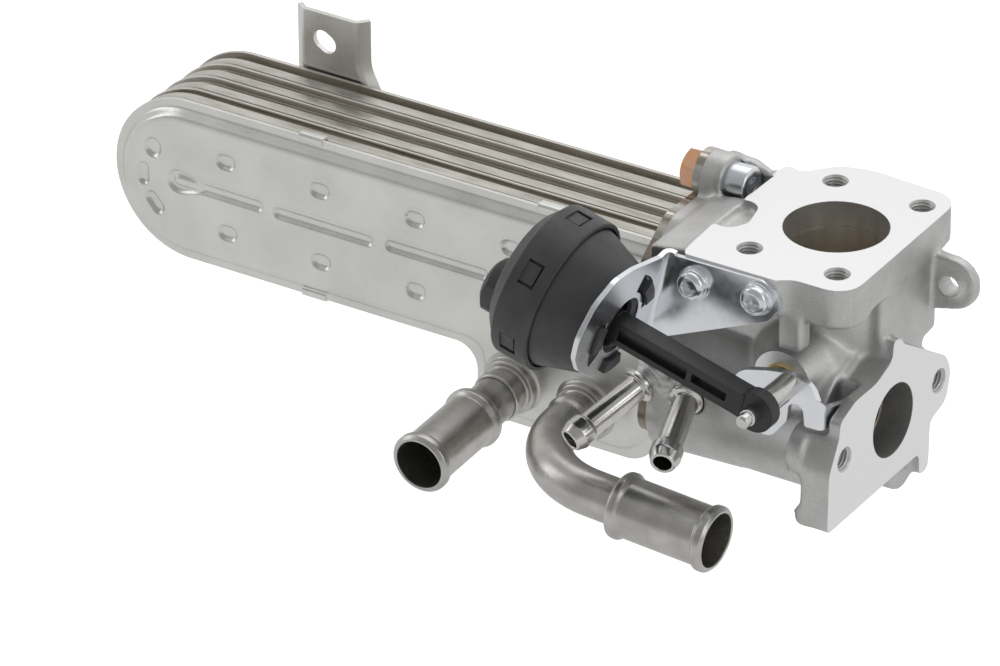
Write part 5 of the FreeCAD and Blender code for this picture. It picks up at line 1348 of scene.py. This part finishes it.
def stainless_sheet():
    """Furnace-brazed stainless sheet, satin with faint clouds and small stains."""
    r = Recipe("stainless sheet", (0.68, 0.66, 0.62), 1.0, 0.32)
    cloud = r.noise(0.02, 4.0)
    base = r.mix(r.spread(cloud, 0.35, 0.65), (0.71, 0.71, 0.68), (0.80, 0.80, 0.775))
    stain = r.spread(r.noise(0.005, 4.0, 0.6), 0.58, 0.72, 0.0, 0.3)
    r.colour(r.mix(stain, base, (0.64, 0.61, 0.56)))
    fine = r.noise(0.0012, 3.0)
    r.roughness(r.spread(r.math("ADD", cloud, fine), 0.7, 1.3, 0.26, 0.38))
    r.rounded(0.25 * MM)
    r.bump(r.noise(0.007, 2.0), 0.06 * MM, 0.4)
    return r.done()


def stainless_tube():
    """Drawn stainless tube with a brownish satin bloom."""
    r = Recipe("stainless tube", (0.6, 0.57, 0.53), 1.0, 0.3)
    cloud = r.noise(0.008, 4.0)
    r.colour(r.mix(r.spread(cloud, 0.35, 0.65), (0.50, 0.49, 0.465), (0.62, 0.61, 0.585)))
    r.roughness(r.spread(r.noise(0.001, 3.0), 0.3, 0.7, 0.27, 0.36))
    r.bump(r.noise(0.0009, 2.0), 0.012 * MM, 0.4)
    return r.done()


def zinc_sheet():
    """Bright bluish zinc plating, almost even, with a soft mottle."""
    r = Recipe("zinc plated sheet", (0.8, 0.83, 0.88), 1.0, 0.24)
    cloud = r.noise(0.016, 2.0)
    r.colour(r.mix(r.spread(cloud, 0.3, 0.7), (0.80, 0.82, 0.85), (0.88, 0.90, 0.93)))
    r.roughness(r.spread(r.noise(0.003, 3.0), 0.3, 0.7, 0.20, 0.27))
    r.rounded(0.3 * MM)
    r.bump(r.noise(0.009, 1.0), 0.02 * MM, 0.3)
    return r.done()


def black_plastic():
    """Glass-filled black plastic with a fine mould texture."""
    r = Recipe("black plastic", (0.025, 0.026, 0.028), 0.0, 0.5)
    cloud = r.noise(0.01, 3.0)
    r.colour(r.mix(r.spread(cloud, 0.3, 0.7), (0.042, 0.043, 0.045), (0.062, 0.063, 0.066)))
    r.roughness(r.spread(r.noise(0.003, 3.0), 0.3, 0.7, 0.40, 0.52))
    r.rounded(0.35 * MM)
    r.bump(r.noise(0.0005, 2.0), 0.02 * MM, 0.4)
    return r.done()


def bright_steel():
    """Polished plated steel."""
    r = Recipe("bright steel", (0.78, 0.78, 0.77), 1.0, 0.12)
    fine = r.noise(0.001, 3.0)
    r.roughness(r.spread(fine, 0.3, 0.7, 0.15, 0.23))
    r.colour(r.mix(r.spread(r.noise(0.006), 0.3, 0.7), (0.62, 0.61, 0.59), (0.72, 0.71, 0.69)))
    return r.done()


def yellow_zinc():
    """Yellow passivated zinc with pink and gold patches."""
    r = Recipe("yellow zinc", (0.8, 0.6, 0.35), 1.0, 0.28)
    patch = r.noise(0.003, 2.0)
    r.colour(r.mix(r.spread(patch, 0.35, 0.65), (0.78, 0.40, 0.16), (0.72, 0.46, 0.36)))
    r.bump(r.noise(0.001), 0.02 * MM, 0.5)
    return r.done()


def turned_brass():
    """Machined brass."""
    r = Recipe("turned brass", (0.72, 0.55, 0.27), 1.0, 0.25)
    r.colour(r.mix(r.spread(r.noise(0.004), 0.3, 0.7), (0.68, 0.50, 0.22), (0.82, 0.65, 0.34)))
    return r.done()


def moulded_rubber():
    """Black rubber."""
    r = Recipe("moulded rubber", (0.02, 0.02, 0.02), 0.0, 0.7)
    r.roughness(r.spread(r.noise(0.002), 0.3, 0.7, 0.6, 0.8))
    return r.done()


def spring_wire():
    """Drawn spring wire."""
    r = Recipe("spring wire", (0.5, 0.5, 0.5), 1.0, 0.3)
    r.roughness(r.spread(r.noise(0.001), 0.3, 0.7, 0.25, 0.4))
    return r.done()


def brazed_stack():
    """Rim of the stacked pressings: darker sheet with heat stains drawn out along X; by the depth within one
    pressing, painted shade browns the hollow and the neck of each pressing and a painted highlight brightens
    its lip."""
    r = Recipe(STACK_FINISH, (0.5, 0.47, 0.42), 1.0, 0.3)
    streak = r.noise(0.004, 4.0, 0.6, (0.22, 1.0, 1.0))
    base = r.mix(r.spread(streak, 0.32, 0.68), (0.43, 0.405, 0.36), (0.64, 0.62, 0.575))
    depth = r.math("SUBTRACT", r.axes()[1], CORE_LIP * MM)
    share = r.math("MODULO", r.math("ADD", depth, CORE_PITCH * MM), CORE_PITCH * MM)
    shoulder = NECK_WIDTH + BAND_WIDTH + SHOULDER_RUN
    edge = CORE_PITCH - LIP_SHEET
    # Painted shade in the hollow behind each shoulder and in the neck of each pressing.
    groove_shade = r.math("MULTIPLY", r.spread(share, shoulder * MM, (shoulder + 0.6) * MM),
                    r.spread(share, (edge - 0.2) * MM, (edge + 0.2) * MM, 1.0, 0.0))
    neck = r.spread(share, NECK_WIDTH * MM, (NECK_WIDTH + 0.4) * MM, 1.0, 0.0)
    # Painted highlight: the lip of each pressing is coloured brighter.
    lip = r.spread(share, (edge - 0.1) * MM, (edge + 0.3) * MM)
    shade = r.mix(r.math("MAXIMUM", r.math("MULTIPLY", groove_shade, 0.8), neck), base, (0.31, 0.275, 0.225))
    r.colour(r.mix(r.math("MULTIPLY", lip, 0.7), shade, (0.74, 0.72, 0.68)))
    r.roughness(r.spread(streak, 0.3, 0.7, 0.24, 0.40))
    r.rounded(0.2 * MM)
    r.bump(r.noise(0.006, 2.0, 0.5, (0.3, 1.0, 1.0)), 0.10 * MM, 0.5)
    return r.done()


def glossy_plastic():
    """Deep black moulding with a slight gloss."""
    r = Recipe("glossy black plastic", (0.018, 0.018, 0.019), 0.0, 0.34)
    r.roughness(r.spread(r.noise(0.004, 2.0), 0.3, 0.7, 0.28, 0.38))
    r.rounded(0.3 * MM)
    return r.done()


NODE_FINISHES = {"actuator_rod": ROD_FINISH, "cooler_back_plate": STACK_FINISH,
                 "cooler_flange": STACK_FINISH, "cooler_gasket": STACK_FINISH}
FINISHES = {
    STACK_FINISH: brazed_stack, ROD_FINISH: glossy_plastic,
    "cast aluminium": cast_aluminium, "stainless sheet": stainless_sheet, "stainless tube": stainless_tube,
    "zinc plated sheet": zinc_sheet, "black plastic": black_plastic, "bright steel": bright_steel,
    "yellow zinc": yellow_zinc, "brass": turned_brass, "rubber": moulded_rubber, "spring steel": spring_wire}


def dress_nodes():
    """Give every carried-over node the finish of its slot, or the finish listed for it in NODE_FINISHES."""
    made = {slot: make() for slot, make in FINISHES.items()}
    slots = {entry["node"]: entry["material_slot"] for entry in frame["record"]["subparts"]}
    for name, node in frame["nodes"].items():
        node.data.materials.clear()
        node.data.materials.append(made[NODE_FINISHES.get(name, slots[name])])
    return made


def floor():
    """Plain pale floor under the part."""
    half = FLOOR_HALF
    z = cad_low.z - FLOOR_DROP * MM
    corners = [(-half, -half, z), (half, -half, z), (half, half, z), (-half, half, z)]
    mesh = bpy.data.meshes.new("floor")
    mesh.from_pydata(corners, [], [(0, 1, 2, 3)])
    ground = linked("floor", mesh)
    r = Recipe("floor", (0.3, 0.3, 0.3), 0.0, 0.9)
    r.shader.inputs["Emission Color"].default_value = (1.0, 1.0, 1.0, 1.0)
    seen = r.node("ShaderNodeLightPath").outputs["Is Camera Ray"]
    r.feed(r.shader.inputs["Emission Strength"], r.spread(seen, 0.0, 1.0, FLOOR_LIGHT, FLOOR_SEEN))
    mesh.materials.append(r.done())


def softbox(name, place, target, width, height, power):
    """Rectangular area light that faces a point."""
    data = bpy.data.lights.new(name, "AREA")
    data.shape = "RECTANGLE"
    data.size = width
    data.size_y = height
    data.energy = power
    lamp = linked(name, data)
    way = Matrix.Translation(place).to_translation() - Matrix.Translation(target).to_translation()
    lamp.matrix_world = Matrix.Translation(place) @ way.to_track_quat("Z", "Y").to_matrix().to_4x4()


def studio():
    """Soft light from above and behind, two sides, and a room that is bright behind and dark in front: its
    strength is a level plus a share of Y and a share of Z, held above a least value."""
    middle = ((cad_low + cad_high) / 2)[:]
    softbox("overhead", (-0.2, 0.8, 1.5), middle, 2.0, 1.4, 6.0)
    softbox("left", (-1.8, -0.7, 0.8), middle, 0.7, 1.2, 3.0)
    softbox("right", (1.7, -0.4, 0.7), middle, 0.6, 1.2, 3.0)
    world = bpy.data.worlds.new("studio")
    world.use_nodes = True
    bpy.context.scene.world = world
    tree = world.node_tree
    background = tree.nodes["Background"]
    background.inputs["Color"].default_value = (1.0, 1.0, 1.0, 1.0)
    coordinates = tree.nodes.new("ShaderNodeTexCoord")
    split = tree.nodes.new("ShaderNodeSeparateXYZ")
    back = tree.nodes.new("ShaderNodeMath")
    back.operation = "MULTIPLY_ADD"
    back.inputs[1].default_value = ROOM_BACK
    back.inputs[2].default_value = ROOM_LEVEL
    up = tree.nodes.new("ShaderNodeMath")
    up.operation = "MULTIPLY_ADD"
    up.inputs[1].default_value = ROOM_UP
    ramp = tree.nodes.new("ShaderNodeClamp")
    ramp.inputs["Min"].default_value = ROOM_LEAST
    tree.links.new(coordinates.outputs["Generated"], split.inputs[0])
    tree.links.new(split.outputs["Y"], back.inputs[0])
    tree.links.new(split.outputs["Z"], up.inputs[0])
    tree.links.new(back.outputs[0], up.inputs[2])
    tree.links.new(up.outputs[0], ramp.inputs["Value"])
    tree.links.new(ramp.outputs["Result"], background.inputs["Strength"])
    bpy.context.scene.view_settings.view_transform = "Standard"


camera()
finishes = dress_nodes()
cooler_shells()
front_cover()
straight_pipe()
elbow_pipe()
pipe_collars()
coolant_nipples()
flap_housing()
bracket_screws()
joint_screws()
joint_nuts()
lever()
lever_pin()
front_bush()
rear_tab()
actuator_can()
actuator_cap()
floor()
studio()
